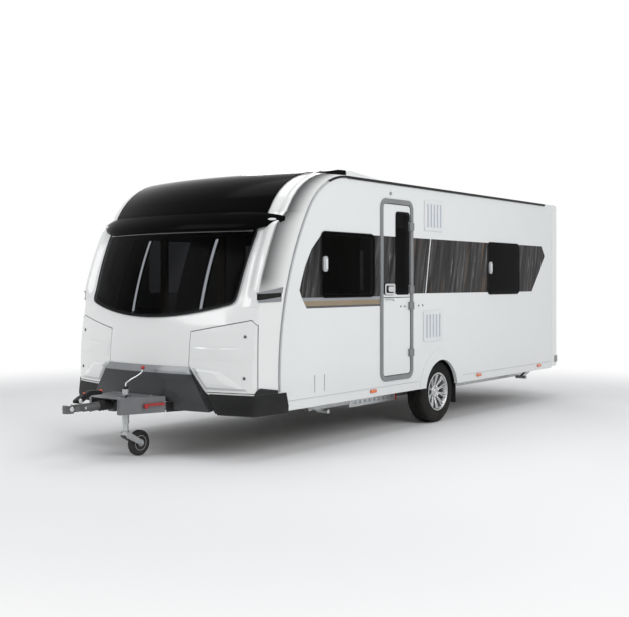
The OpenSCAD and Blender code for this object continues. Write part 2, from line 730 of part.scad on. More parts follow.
// Housing bolted on the arms, with the sliding tube through it
module overrun_housing() color("silver") from_axle() {
    difference() {
        union() {
            box([front_x + 83, -38, hitch_z - 60], [front_x + 393, 38, hitch_z + 43]);
            box([front_x + 313, -arm_y[1] - 30, arm_top + 0.5], [front_x + 393, 0, arm_top + 14]);
            box([front_x + 353, 0, arm_top + 0.5], [front_x + 393, arm_y[1] + 30, arm_top + 14]);
        }
        pin_x(front_x, tip_x, hitch_z, tube_r + 0.3);
    }
    pin_x(front_x + 93, tip_x - 244, hitch_z, tube_r);
}

module overrun_gaiter() color("black") from_axle()
    translate([front_x + 399, 0, hitch_z]) rotate([0, 90, 0]) rotate_extrude($fn = 64)
        polygon(concat([[tube_r + 0.5, 0]], [for (i = [0 : 8]) [i % 2 == 0 ? 34 : 46, i * 17]],
            [[tube_r + 0.5, 136]]));

module coupling_head() color("gray") from_axle() difference() {
    union() {
        pin_x(tip_x - 360, tip_x - 200, hitch_z, 34);
        box([tip_x - 254, -30, hitch_z - 24], [ball_x, 30, hitch_z + 30]);
        translate([ball_x, 0, hitch_z - 32]) cylinder(h = 64, r = 46, $fn = 96);
    }
    translate([ball_x, 0, hitch_z - 40]) cylinder(h = 56, r = ball_d / 2 + 0.4, $fn = 64);
    pin_x(tip_x - 370, tip_x - 242, hitch_z, tube_r + 0.3);
}

module coupling_handle() color("black") from_axle() {
    side_plate(26, 52) {
        link([tip_x - 154, hitch_z + 62], 24, [tip_x - 264, hitch_z + 118], 20);
        link([tip_x - 264, hitch_z + 118], 20, [tip_x - 372, hitch_z + 112], 16);
    }
    side_plate(20, 40) link([tip_x - 154, hitch_z + 62], 24, [tip_x - 124, hitch_z + 58], 15);
}

cover_plan = [[68, -330], [463, -196], [483, -80], [483, 80], [463, 196], [68, 330]];
cover_a = atan2(196 - 330, 463 - 68);

module hitch_cover() color("gray") from_axle() difference() {
    translate([front_x, 0, arm_z - 8]) linear_extrude(arm_h + 64) polygon(cover_plan);
    translate([front_x, 0, arm_z - 9]) linear_extrude(arm_h + 60)
        polygon([[60, -327], [458, -191], [500, -75], [500, 75], [458, 191], [60, 327]]);
    translate([jockey_at[0], jockey_at[1], arm_z]) cylinder(h = 300, r = 50, $fn = 48);
}

module handbrake_lever() color("red") from_axle()
    translate([front_x + 68, 330, 0]) rotate([0, 0, cover_a]) side_plate(34, 24) {
        translate([190, hitch_z - 10]) circle(20, $fn = 48);
        translate([30, hitch_z - 8]) square([160, 18]);
        translate([36, hitch_z + 1]) circle(13, $fn = 48);
    }

jockey_top = hitch_z + 126;

module jockey_sleeve() color("silver") from_axle() translate([jockey_at[0], jockey_at[1], 0]) difference() {
    union() {
        translate([0, 0, jockey_top - 292]) cylinder(h = 292, r = jockey_r + 5, $fn = 64);
        translate([-34, 38.5 - jockey_at[1], hitch_z - 38]) cube([68, 70, 60]);
    }
    translate([0, 0, jockey_top - 300]) cylinder(h = 292, r = jockey_r + running, $fn = 64);
}

module jockey_crank() color("gray") from_axle() translate([jockey_at[0], jockey_at[1], jockey_top + 0.5]) {
    cylinder(h = 24, r = 12, $fn = 32);
    translate([-130, -7, 10]) cube([130, 14, 14]);
    translate([-124, 0, 24]) cylinder(h = 110, r = 13, $fn = 32);
}

module jockey_tube() color("silver") from_axle() translate([jockey_at[0], jockey_at[1], 0]) {
    translate([0, 0, jockey_crown_z + 34]) cylinder(h = 250, r = jockey_r, $fn = 64);
    translate([0, 0, jockey_crown_z + 2]) cylinder(h = 40, r = jockey_pin_r, $fn = 48);
}

module jockey_fork() color("silver") from_axle() translate([jockey_at[0], jockey_at[1], 0]) {
    difference() {
        union() {
            translate([0, 0, jockey_crown_z]) cylinder(h = 32, r = 34, $fn = 64);
            box([-26, -44, jockey_crown_z], [26, 44, jockey_crown_z + 12]);
        }
        translate([0, 0, jockey_crown_z - 1]) cylinder(h = 40, r = jockey_pin_r + running, $fn = 48);
    }
    for (y = [-36, 44])
        side_plate(y, 8) link([0, jockey_crown_z - 2], 28, [-jockey_trail, jockey_axle_z], 22);
    pin_y(-jockey_trail, jockey_axle_z, -40, 40, 8);
}

module jockey_wheel() color("black") from_axle()
    translate([jockey_at[0] - jockey_trail, jockey_at[1], jockey_axle_z]) rotate([90, 0, 0])
        rotate_extrude($fn = 96) polygon([[8 + running, -26], [40, -26], [46, -22],
            [jockey_wheel_r - 14, -28], [jockey_wheel_r, -18], [jockey_wheel_r, 18],
            [jockey_wheel_r - 14, 28], [46, 22], [40, 26], [8 + running, 26]]);

// Boards beside the drawbar arms
module drawbar_boards() color("black") from_axle() both_sides()
    translate([arm_x[0], arm_y[0], arm_z - 14]) rotate([0, 0, arm_a])
        translate([arm_len - 1060, 14, 0]) cube([650, 6, arm_h + 14]);

module steady_bracket(x) translate([x, 0, 0]) difference() {
    union() {
        box([-60, steady_y - 40, floor_z - 8], [60, steady_y + 40, floor_z - 0.5]);
        for (y = [-34, 28])
            side_plate(steady_y + y + 6, 6) link([0, steady_pivot_z], 26, [0, floor_z - 20], 44);
    }
    box([-100, steady_y - 60, floor_z - 0.4], [100, steady_y + 60, floor_z + 100]);
    pin_y(0, steady_pivot_z, steady_y - 60, steady_y + 60, 10 + running);
}

module steady_brackets() color("silver") from_axle() both_sides() {
    steady_bracket(steady_x[0]);
    steady_bracket(steady_x[1]);
}

// A leg that points back (d = -1) or forward (d = 1) from its pivot, with a round bar as its foot
module steady_leg(x, d) {
    foot = [x + d * steady_len * cos(steady_a), steady_pivot_z - steady_len * sin(steady_a)];
    side_plate(steady_y + 18, 36) link([x, steady_pivot_z], 24, foot, 16);
    pin_y(x, steady_pivot_z, steady_y - 33, steady_y + 33, 10);
    pin_y(foot[0], foot[1], steady_y - 70, steady_y + 70, 19);
}

module steady_front_left() color("silver") from_axle() steady_leg(steady_x[0], -1);
module steady_front_right() color("silver") from_axle() mirror([0, 1, 0]) steady_leg(steady_x[0], -1);
module steady_rear_left() color("silver") from_axle() steady_leg(steady_x[1], 1);
module steady_rear_right() color("silver") from_axle() mirror([0, 1, 0]) steady_leg(steady_x[1], 1);

// A cupboard of boards, open to the floor
module cupboard(a, b) difference() {
    box(a, b);
    box([a[0] + board_t, a[1] + board_t, a[2] - 1], [b[0] - board_t, b[1] - board_t, b[2] - board_t]);
}

settee_x = [along(1290), along(2540)];
side_y = inner_y - 8;
ceiling_z = roof_z - wall_t - 1;

// Seat box with a cushion and a back along the wall
module settees() color("tan") from_axle() both_sides() {
    y = across(510);
    difference() {
        box([settee_x[0], y, floor_top], [settee_x[1], side_y, height(810)]);
        box([settee_x[0] + board_t, y + board_t, floor_top - 1],
            [settee_x[1] - board_t, side_y - board_t, height(810) - board_t]);
    }
    box([settee_x[0], y - 8, height(811)], [settee_x[1], side_y, height(950)]);
    box([settee_x[0], side_y - 130, height(951)], [settee_x[1], side_y, height(1280)]);
}

// Kitchen, wardrobe, bulkhead halves and the pillars behind the front window
module cabinets() color("tan") from_axle() {
    difference() {
        union() {
            cupboard([along(-460), across(540), floor_top], [along(520), side_y, height(1340)]);
            cupboard([along(-460), -side_y, floor_top], [0, -across(560), ceiling_z]);
        }
        for (s = [0, 1]) mirror([0, s, 0]) box([-wheel_box_r - 15, wheel_box_y - 15, 0],
            [wheel_box_r + 15, half_w, arch_z + wheel_box_r + 15]);
    }
    for (s = [0, 1]) mirror([0, s, 0])
        box([along(-600), across(330), floor_top], [along(-600) + 30, side_y, ceiling_z]);
    for (y = [-370, 370])
        front_bar(front_len - 155, front_len - 115) translate([across(y) - 35, height(1200)])
            square([70, height(1920) - height(1200)]);
}

// Wall and shelf that close off the front lockers from the cabin
module gas_locker() color("tan") from_axle() {
    y = across(1010);
    x = front_len - 175;
    box([x, -y, floor_top], [x + board_t, y, height(1180)]);
    translate([0, 0, height(1180)]) linear_extrude(board_t) polygon(concat(
        [for (y = cols_between(-across(1010), across(1010)))
            [skin(y, angle_at(height(1190)), 0)[0] - front_t - 40, y]],
        [[x - 20, y], [x - 20, -y]]));
}

module rear_bed() color("tan") from_axle() {
    y = across(720);
    x = [-rear_len + 370, along(-900)];
    difference() {
        box([x[0], -y, floor_top], [x[1], y, height(880)]);
        box([x[0] + board_t, -y + board_t, floor_top - 1],
            [x[1] - board_t, y - board_t, height(880) - board_t]);
    }
    box([x[0], -y, height(881)], [x[1], y, height(1000)]);
}

chassis_rail_left();
chassis_rail_right();
cross_members();
axle_tube();
trailing_arms();
overrun_housing();
overrun_gaiter();
coupling_head();
coupling_handle();
hitch_cover();
handbrake_lever();
jockey_sleeve();
jockey_crank();
drawbar_boards();
steady_brackets();
floor();
side_wall_left();
side_wall_right();
roof();
front_panel();
front_top_panel();
front_window();
front_visor();
front_nose();
front_bumpers();
rear_panel();
rear_lamps();
rear_bumper();
side_windows();
door_frame();
awning_rails();
roof_fairings();
rooflights();
fridge_vents();
side_markers();
grab_handles();
wheel_boxes();
settees();
cabinets();
gas_locker();
rear_bed();
door_upper();
door_window();
door_handle();
door_lower();
locker_door_left();
locker_door_right();
tyre_left();
rim_left();
tyre_right();
rim_right();
jockey_tube();
jockey_fork();
jockey_wheel();
steady_front_left();
steady_front_right();
steady_rear_left();
steady_rear_right();
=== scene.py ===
from math import asin, atan2, ceil, copysign, cos, dist, pi, radians, sin, sqrt, tan

import bmesh
import bpy
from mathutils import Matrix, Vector
from mathutils.geometry import tessellate_polygon


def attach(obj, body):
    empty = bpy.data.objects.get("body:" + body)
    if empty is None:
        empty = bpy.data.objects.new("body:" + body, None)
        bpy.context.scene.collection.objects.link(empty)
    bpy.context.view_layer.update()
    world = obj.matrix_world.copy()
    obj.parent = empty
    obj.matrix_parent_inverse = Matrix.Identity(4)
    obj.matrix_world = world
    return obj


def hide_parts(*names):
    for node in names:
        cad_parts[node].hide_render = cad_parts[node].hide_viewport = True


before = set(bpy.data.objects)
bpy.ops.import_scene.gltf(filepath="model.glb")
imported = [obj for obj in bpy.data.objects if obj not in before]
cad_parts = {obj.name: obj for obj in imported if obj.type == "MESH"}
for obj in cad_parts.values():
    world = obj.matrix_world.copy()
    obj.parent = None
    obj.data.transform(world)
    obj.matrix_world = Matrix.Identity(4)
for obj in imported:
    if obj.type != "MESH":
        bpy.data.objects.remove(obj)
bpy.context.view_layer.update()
scene = bpy.context.scene

# Sizes shared with the solids, in metres
MID = 0.477
HALF_W = 1.14
ROOF_Z = 2.5
FRONT_LEN = 2.775
FRONT_DEPTH = 0.472
LOW_R, LOW_Z, TOP_R = 2.8, 0.7, 0.72
LOW_CX = FRONT_LEN - LOW_R
TOP_CZ = ROOF_Z - TOP_R
TOP_CX = LOW_CX + sqrt((LOW_R - TOP_R) ** 2 - (TOP_CZ - LOW_Z) ** 2)
BROW_A = atan2(TOP_CZ - LOW_Z, TOP_CX - LOW_CX)
BROW_Z = LOW_Z + LOW_R * sin(BROW_A)
CHEEK_A = radians(82)
UPPER_PLAN = (2.9, HALF_W - 0.045, 0.028)
PILLAR_PLAN = (4.1, HALF_W - 0.045, 0.028)
LOWER_PLAN = (3.3, HALF_W - 0.050, 0.036)
FLUTE = (HALF_W - 0.165, HALF_W - 0.055, 0.030)
FLANK_W = 0.128
LEDGE = (1.29, 1.44)
HITCH_Z = 0.462
TIP_X = 4.144 - MID
WHEEL_X, WHEEL_Y, WHEEL_Z = -MID, 0.995, 0.33
JOCKEY_X, JOCKEY_Y = 3.540 - MID, 0.076
JOCKEY_AXLE = (3.390 - MID, JOCKEY_Y, 0.110)
REAR_X, REAR_PLAN_R = -3.17 - MID, 0.220
RAIL_Y, FLOOR_TOP = 0.800, 0.5465
NOSE_BEVEL_Z, RAIL_TURN_Z = 0.722, 2.42
EASE_ANGLE = radians(38)


# The front's surface, as the solids have it
def angle_at(z):
    if z <= BROW_Z:
        return asin((z - LOW_Z) / LOW_R)
    return asin(min(1.0, (z - TOP_CZ) / TOP_R))


def profile_x(a):
    return LOW_CX + LOW_R * cos(a) if a <= BROW_A else TOP_CX + TOP_R * cos(a)


def plan(y, bow_r, bow_end, corner_r):
    """Drop behind the foremost point and turn of the normal at a distance y from the middle."""
    t0 = asin(bow_end / bow_r)
    d0 = bow_r - sqrt(bow_r ** 2 - bow_end ** 2)
    y1 = bow_end + corner_r * (sin(CHEEK_A) - bow_end / bow_r)
    d1 = d0 + corner_r * (cos(t0) - cos(CHEEK_A))
    if y <= bow_end:
        return bow_r - sqrt(bow_r ** 2 - y * y), asin(y / bow_r)
    if y <= y1:
        t = asin(min(1.0, (y - bow_end) / corner_r + bow_end / bow_r))
        return d0 + corner_r * (cos(t0) - cos(t)), t
    return d1 + (y - y1) * (FRONT_DEPTH - d1) / (HALF_W - y1), CHEEK_A


def share(v, lo, hi):
    return min(1.0, max(0.0, (v - lo) / (hi - lo)))


def flute_depth(y):
    if not FLUTE[0] < y < FLUTE[1]:
        return 0.0
    return FLUTE[2] * sin(pi * (y - FLUTE[0]) / (FLUTE[1] - FLUTE[0])) ** 2


def pillar(y):
    """Share of the pillar moulding across the flank between the window and the crest."""
    crest = PILLAR_PLAN[1] - 0.010
    t = share(y, crest - FLANK_W, crest)
    return t * t * (3 - 2 * t)


def skin(y, z, e=0.0, moulding=0.0):
    """Point of the front at (y, z), moved out by e; moulding 1 is the face of the pillar mouldings."""
    a, s = angle_at(z), min(abs(y), HALF_W)
    w, p = share(z, *LEDGE), pillar(s) * moulding
    (du, tu), (dl, tl), (dp, tp) = (plan(s, *form) for form in (UPPER_PLAN, LOWER_PLAN, PILLAR_PLAN))
    drop = w * ((1 - p) * (du + flute_depth(s) * (1 - moulding)) + p * dp) + (1 - w) * dl
    t = copysign(w * ((1 - p) * tu + p * tp) + (1 - w) * tl, y)
    n = Vector((cos(t) * cos(a), sin(t) * cos(a), cos(t) * sin(a))).normalized()
    back = max(0.0, abs(y) - HALF_W)
    return Vector((profile_x(a) + FRONT_DEPTH - drop - back - MID, copysign(s, y), z)) + n * e


# Node helpers
def put(node, sockets):
    """Sets socket values by name or number."""
    for key, value in sockets.items():
        node.inputs[key].default_value = value
    return node


def add(nt, kind, sockets=None, **values):
    """A shader node with its settings and socket values."""
    node = nt.nodes.new("ShaderNode" + kind)
    for key, value in values.items():
        setattr(node, key, value)
    return put(node, sockets or {})


def wire(nt, *links):
    """Each link names a node and its output, then a node and its input."""
    for source, out, target, into in links:
        nt.links.new(source.outputs[out], target.inputs[into])


def group(name, inputs, outputs):
    """An empty shader node group with named sockets; gives the group, its input node and its output node."""
    g = bpy.data.node_groups.new(name, "ShaderNodeTree")
    for sock, kind, default in inputs:
        g.interface.new_socket(sock, in_out="INPUT", socket_type=kind).default_value = default
    for sock, kind in outputs:
        g.interface.new_socket(sock, in_out="OUTPUT", socket_type=kind)
    return g, g.nodes.new("NodeGroupInput"), g.nodes.new("NodeGroupOutput")


FLOAT, COLOUR = "NodeSocketFloat", "NodeSocketColor"
# Numbers of a colour mix node's sockets
MIX_FAC, MIX_A, MIX_B, MIX_OUT = 0, 6, 7, 2


def tone_group():
    """Slow drift between two colours, as sun and washing leave on a panel."""
    g, i, o = group("tone_drift", [("Colour", COLOUR, (.8, .8, .8, 1)), ("Second", COLOUR, (.7, .7, .7, 1)),
                                   ("Scale", FLOAT, 2.0)], [("Colour", COLOUR), ("Mask", FLOAT)])
    co, noise = add(g, "TexCoord"), add(g, "TexNoise", {"Detail": 4})
    ramp = add(g, "MapRange", {"From Min": .3, "From Max": .7})
    mix = add(g, "Mix", data_type="RGBA")
    wire(g, (co, "Object", noise, "Vector"), (i, "Scale", noise, "Scale"), (noise, "Fac", ramp, "Value"),
         (ramp, "Result", mix, MIX_FAC), (i, "Colour", mix, MIX_A), (i, "Second", mix, MIX_B),
         (mix, MIX_OUT, o, "Colour"), (ramp, "Result", o, "Mask"))
    return g


def grain_group():
    """Fine grain for bumps, and a roughness that follows it."""
    g, i, o = group("fine_grain", [("Scale", FLOAT, 400.0), ("Rough", FLOAT, .4), ("Spread", FLOAT, .1)],
                    [("Height", FLOAT), ("Roughness", FLOAT)])
    co = add(g, "TexCoord")
    fine, slow = add(g, "TexNoise", {"Detail": 3}), add(g, "TexNoise", {"Scale": 6, "Detail": 5})
    centre = add(g, "Math", {1: .5}, operation="SUBTRACT")
    times = add(g, "Math", operation="MULTIPLY")
    rough = add(g, "Math", operation="ADD", use_clamp=True)
    wire(g, (co, "Object", fine, "Vector"), (co, "Object", slow, "Vector"), (i, "Scale", fine, "Scale"),
         (fine, "Fac", o, "Height"), (slow, "Fac", centre, 0), (centre, 0, times, 0), (i, "Spread", times, 1),
         (times, 0, rough, 0), (i, "Rough", rough, 1), (rough, 0, o, "Roughness"))
    return g


def masked(g, i, first, second):
    """Product of two masks and the group's Amount."""
    times = add(g, "Math", operation="MULTIPLY")
    part = add(g, "Math", operation="MULTIPLY", use_clamp=True)
    wire(g, (*first, times, 0), (*second, times, 1), (times, 0, part, 0), (i, "Amount", part, 1))
    return part


def film_group():
    """Road film that thins out with height above the ground, broken up by noise."""
    g, i, o = group("road_film", [("Colour", COLOUR, (.8, .8, .8, 1)), ("Film", COLOUR, (.35, .31, .26, 1)),
                                  ("Top", FLOAT, .8), ("Amount", FLOAT, .3)], [("Colour", COLOUR), ("Mask", FLOAT)])
    geo, xyz = add(g, "NewGeometry"), add(g, "SeparateXYZ")
    fall = add(g, "MapRange", {"From Min": 0, "To Min": 1, "To Max": 0})
    noise = add(g, "TexNoise", {"Scale": 9, "Detail": 6})
    mix = add(g, "Mix", data_type="RGBA")
    part = masked(g, i, (fall, "Result"), (noise, "Fac"))
    wire(g, (geo, "Position", xyz, 0), (geo, "Position", noise, "Vector"), (xyz, "Z", fall, "Value"),
         (i, "Top", fall, "From Max"), (part, 0, mix, MIX_FAC), (i, "Colour", mix, MIX_A), (i, "Film", mix, MIX_B),
         (mix, MIX_OUT, o, "Colour"), (part, 0, o, "Mask"))
    return g


def wear_group():
    """Mask of the edges that hands and stones have rubbed."""
    g, i, o = group("edge_wear", [("Amount", FLOAT, .5)], [("Mask", FLOAT)])
    geo, edge = add(g, "NewGeometry"), add(g, "MapRange", {"From Min": .52, "From Max": .62})
    noise = add(g, "TexNoise", {"Scale": 60, "Detail": 5})
    part = masked(g, i, (edge, "Result"), (noise, "Fac"))
    wire(g, (geo, "Pointiness", edge, "Value"), (geo, "Position", noise, "Vector"), (part, 0, o, "Mask"))
    return g


TONE, GRAIN, FILM, WEAR = tone_group(), grain_group(), film_group(), wear_group()


def use(nt, tree, **values):
    node = nt.nodes.new("ShaderNodeGroup")
    node.node_tree = tree
    return put(node, values)


def rgba(c):
    return (c[0], c[1], c[2], 1.0)


def new_material(name):
    m = bpy.data.materials.new(name)
    m.use_nodes = True
    return m, m.node_tree, shader_of(m)


def shader_of(material):
    return material.node_tree.nodes["Principled BSDF"]


def emboss(nt, source, out, strength):
    """Turns a height into the shader's normal."""
    b = add(nt, "Bump", {"Strength": strength, "Distance": .002})
    wire(nt, (source, out, b, "Height"), (b, "Normal", nt.nodes["Principled BSDF"], "Normal"))


def finish(name, colour, second=None, rough=.4, metal=0.0, coat=0.0, scale=2.0, grain=400.0, bump=.02,
           spread=.1, film=0.0, film_top=.8, wear=0.0, wear_colour=(.6, .6, .6), sheen=0.0, ior=None):
    """A finish from the shared groups: drifting colour, road film, worn edges, grain and roughness."""
    m, nt, shader = new_material(name)
    put(shader, {"Metallic": metal, "Coat Weight": coat, "Coat Roughness": .06, "Sheen Weight": sheen})
    if ior:
        put(shader, {"IOR": ior})
    tone = use(nt, TONE, Colour=rgba(colour), Second=rgba(second or colour), Scale=scale)
    last, out = tone, "Colour"
    if film:
        layer = use(nt, FILM, Top=film_top, Amount=film)
        wire(nt, (last, out, layer, "Colour"))
        last = layer
    if wear:
        mix = add(nt, "Mix", data_type="RGBA")
        put(mix, {MIX_B: rgba(wear_colour)})
        wire(nt, (use(nt, WEAR, Amount=wear), "Mask", mix, MIX_FAC), (last, out, mix, MIX_A))
        last, out = mix, MIX_OUT
    g = use(nt, GRAIN, Scale=grain, Rough=rough, Spread=spread)
    wire(nt, (last, out, shader, "Base Color"), (g, "Roughness", shader, "Roughness"))
    emboss(nt, g, "Height", bump)
    return m


# Low indices keep the blacks as dark as the photograph has them
DULL, DARK_GLOSS, DARK_GLASS, DARK_FILM = 1.22, 1.08, 1.07, 1.14
GEL_WHITE = ((.82, .825, .815), (.79, .80, .79))
GEL_LOOK = dict(rough=.16, coat=.8, scale=1.1, grain=700, bump=.005, spread=.05)
WHITE_SIDE = finish("white_side_paint", (.80, .815, .81), (.77, .785, .785), rough=.22, coat=.5, scale=.8, grain=900,
                    bump=.006, spread=.06, film=.16, film_top=.75)
WHITE_LEAF = WHITE_SIDE.copy()
WHITE_GEL = finish("white_gel_coat", *GEL_WHITE, film=.12, film_top=.7, **GEL_LOOK)
GLOSS_BLACK = finish("gloss_black", (.002, .002, .0022), (.003, .003, .0032), rough=.16, scale=3, grain=600,
                     bump=.004, spread=.05, ior=DARK_GLOSS)
NOSE_GREY = finish("metallic_grey", (.0324, .0353, .0389), (.0403, .0432, .0475), rough=.36, metal=.3, coat=.25,
                   scale=2, grain=1600, bump=.03, spread=.1, film=.25, film_top=.7, ior=DULL)
# painted highlight: a lighter copy of the metallic grey for the nose's top bevel
NOSE_PAINTED_HIGHLIGHT = finish("metallic_grey_painted_highlight", (.17, .18, .19), (.21, .22, .23), rough=.3, metal=.1, coat=.6, scale=4,
                    grain=1500, bump=.02)
BLACK_PLASTIC = finish("black_plastic", (.010, .0105, .0115), (.016, .0165, .0175), rough=.5, scale=8, grain=900,
                       bump=.12, spread=.2, film=.1, film_top=.6, wear=.5, wear_colour=(.12, .12, .12), ior=DULL)
GREY_PLASTIC = finish("grey_plastic", (.24, .25, .26), (.27, .28, .29), rough=.42, scale=6, grain=900, bump=.08,
                      spread=.15, film=.25, film_top=.6, wear=.4, wear_colour=(.5, .5, .5))
GREY_LIGHT = finish("light_grey_plastic", (.50, .51, .52), (.45, .46, .47), rough=.35, scale=8, grain=800, bump=.06)
GRAB_GREY = finish("grab_grey", (.22, .23, .24), (.27, .28, .29), rough=.32, metal=.3, scale=8, grain=800, bump=.05)
COVER_GREY = finish("cover_grey", (.13, .135, .145), (.16, .165, .175), rough=.4, metal=.3, scale=6, grain=900,
                    bump=.1, spread=.15, film=.25, film_top=.6, wear=.4, wear_colour=(.3, .3, .3))
FRAME_GREY = finish("door_frame_grey", (.19, .197, .203), (.22, .227, .232), rough=.36, scale=5, grain=900, bump=.05)
RED_PLASTIC = finish("red_plastic", (.42, .018, .015), (.34, .014, .012), rough=.4, scale=9, grain=700, bump=.06,
                     wear=.5, wear_colour=(.55, .12, .1))
ORANGE_TIP = finish("orange_plastic", (.72, .10, .012), (.62, .08, .01), rough=.35, scale=9, grain=700, bump=.05)
RUBBER = finish("black_rubber", (.02, .02, .021), (.03, .03, .031), rough=.7, scale=10, grain=500, bump=.1, film=.12,
                film_top=.5, ior=DULL)
TYRE = finish("tyre_rubber", (.011, .011, .0115), (.017, .0165, .016), rough=.78, scale=14, grain=350, bump=.16,
              film=.08, film_top=.5, ior=DULL)
GALVANISED = finish("galvanised_steel", (.42, .44, .45), (.55, .57, .58), rough=.42, metal=.85, scale=26, grain=240,
                    bump=.08, spread=.25, film=.35, film_top=.6)
# painted light: a brighter copy of the galvanised finish, for the side rails lit from the floor below the skirt
ZINC_PAINTED_LIGHT = finish("zinc_painted_light", (.60, .62, .63), (.70, .72, .73), rough=.38, metal=.6, scale=26, grain=240,
                     bump=.06, spread=.2)
CAST_STEEL = finish("cast_steel", (.07, .073, .076), (.10, .103, .106), rough=.46, metal=.4, scale=14, grain=380,
                    bump=.2, spread=.2, film=.3, film_top=.7, wear=.9, wear_colour=(.45, .46, .47))
BRIGHT_STEEL = finish("bright_steel", (.62, .63, .64), (.52, .53, .54), rough=.22, metal=1.0, scale=20, grain=300,
                      bump=.03, spread=.2)
SILVER = finish("satin_silver", (.62, .63, .64), (.56, .57, .58), rough=.28, metal=.8, scale=12, grain=700, bump=.02)
ALLOY = finish("alloy_silver", (.55, .56, .57), (.50, .51, .52), rough=.26, metal=.85, coat=.5, scale=9, grain=700,
               bump=.02, spread=.12, film=.3, film_top=.5)
# painted shade: near-black for the grab recess's opening and the uprights behind the front window
PAINTED_SHADE_BLACK = finish("painted_shade_black", (.012, .012, .013), (.02, .02, .02), rough=.7, scale=6, grain=300, bump=.05,
                   ior=DULL)
WOOD = finish("oak_laminate", (.30, .21, .13), (.24, .16, .095), rough=.4, scale=7, grain=120, bump=.05, spread=.15)
FLOOR_BOARD = finish("floor_board", (.21, .18, .15), (.16, .14, .12), rough=.6, scale=9, grain=150, bump=.1, film=.4,
                     film_top=.7)
PALE_BOARD = finish("pale_board", (.62, .60, .56), (.56, .54, .50), rough=.45, scale=5, grain=300, bump=.04)
# painted light: this pale edge glows, a painted highlight down one edge of each upright behind the front window
PAINTED_GLOW_EDGE = finish("painted_glow_edge", (.74, .75, .76), (.68, .69, .70), rough=.3, scale=6, grain=600, bump=.02)
put(shader_of(PAINTED_GLOW_EDGE), {"Emission Color": (.8, .82, .85, 1), "Emission Strength": 3.2})
WHITE_PLASTIC = finish("white_plastic", (.79, .80, .805), (.74, .75, .76), rough=.35, scale=5, grain=800, bump=.05,
                       spread=.1, film=.15, film_top=.8)
# painted shade: a greyer copy of the gel coat for the locker facets' left and bottom rims
FACET_PAINTED_SHADE = finish("facet_painted_shade", (.56, .57, .565), (.52, .53, .525), rough=.2, coat=.6, scale=1.1, grain=700,
                     bump=.005)
# painted shade: blue-grey for the fridge vents' slots
VENT_SLOT_PAINTED_SHADE = finish("vent_slot_painted_shade", (.42, .47, .55), (.50, .54, .60), rough=.5, scale=9, grain=500, bump=.03)
STRIP_TAN = finish("tan_film", (.29, .225, .145), (.245, .19, .12), rough=.3, metal=.3, scale=3, grain=500, bump=.01)
STRIP_GREY = finish("grey_film", (.28, .29, .31), (.24, .25, .27), rough=.25, coat=.5, scale=3, grain=500, bump=.01)
STRIP_DARK = finish("dark_film", (.02, .02, .024), (.03, .03, .035), rough=.22, coat=.6, scale=3, grain=500, bump=.01)
GROOVE = finish("groove_grey", (.56, .57, .58), (.50, .51, .52), rough=.4, scale=4, grain=500, bump=.02)


def lens(name, colour, glow):
    """Moulded lamp lens with fine ribs."""
    m = finish(name, colour, tuple(v * .8 for v in colour), rough=.12, coat=.8, scale=30, grain=200, bump=.05)
    nt = m.node_tree
    co, wave = add(nt, "TexCoord"), add(nt, "TexWave", {"Scale": 60})
    wire(nt, (co, "Object", wave, "Vector"))
    emboss(nt, wave, "Fac", .3)
    put(shader_of(m), {"Emission Color": rgba(colour), "Emission Strength": glow})
    return m


ORANGE_LENS = lens("orange_lens", (.80, .14, .008), .03)
RED_LENS = lens("red_lens", (.45, .012, .01), .06)
CLEAR_LENS = lens("clear_lens", (.78, .80, .82), .1)


def tinted_acrylic():
    """Dark tinted window acrylic: slightly uneven tint, clear through."""
    m, nt, shader = new_material("tinted_acrylic")
    put(shader, {"Transmission Weight": 1.0, "IOR": DARK_GLASS})
    t = use(nt, TONE, Colour=(.11, .112, .118, 1), Second=(.10, .102, .108, 1), Scale=1.5)
    g = use(nt, GRAIN, Scale=90, Rough=.03, Spread=.02)
    wire(nt, (t, "Colour", shader, "Base Color"), (g, "Roughness", shader, "Roughness"))
    emboss(nt, g, "Height", .01)
    return m


GLASS = tinted_acrylic()


def streaked_film():
    """Dark printed film: slanted streaks of greys, brown and white, no two of one width."""
    m = finish("streaked_film", (.05, .05, .055), rough=.3, grain=500, bump=.008, ior=DARK_FILM)
    nt = m.node_tree
    co, xyz, line = add(nt, "TexCoord"), add(nt, "SeparateXYZ"), add(nt, "CombineXYZ")
    slant = add(nt, "Math", {1: .20}, operation="MULTIPLY_ADD")
    fade = add(nt, "Math", {1: .06}, operation="MULTIPLY")
    wire(nt, (co, "Object", xyz, 0), (xyz, "Z", slant, 0), (xyz, "X", slant, 2), (slant, 0, line, "X"),
         (xyz, "Z", fade, 0), (fade, 0, line, "Y"))
    last = None
    for scale, lo, hi, seed, colour in ((9, .42, .68, 1.3, (.075, .072, .072)),
                                        (17, .54, .72, 4.1, (.16, .155, .155)),
                                        (13, .58, .70, 9.7, (.17, .10, .055)), (22, .64, .74, 15.2, (.55, .54, .54))):
        n = add(nt, "TexNoise", {"Scale": scale, "Detail": 5, "Roughness": .65})
        shift = add(nt, "VectorMath", {1: (seed, seed * .7, 0)}, operation="ADD")
        r = add(nt, "MapRange", {"From Min": lo, "From Max": hi})
        mix = add(nt, "Mix", data_type="RGBA")
        put(mix, {MIX_A: (.018, .0175, .018, 1), MIX_B: rgba(colour)})
        wire(nt, (line, 0, shift, 0), (shift, 0, n, "Vector"), (n, "Fac", r, "Value"), (r, "Result", mix, MIX_FAC))
        if last:
            wire(nt, (last, MIX_OUT, mix, MIX_A))
        last = mix
    wire(nt, (last, MIX_OUT, shader_of(m), "Base Color"))
    return m


BAND = streaked_film()


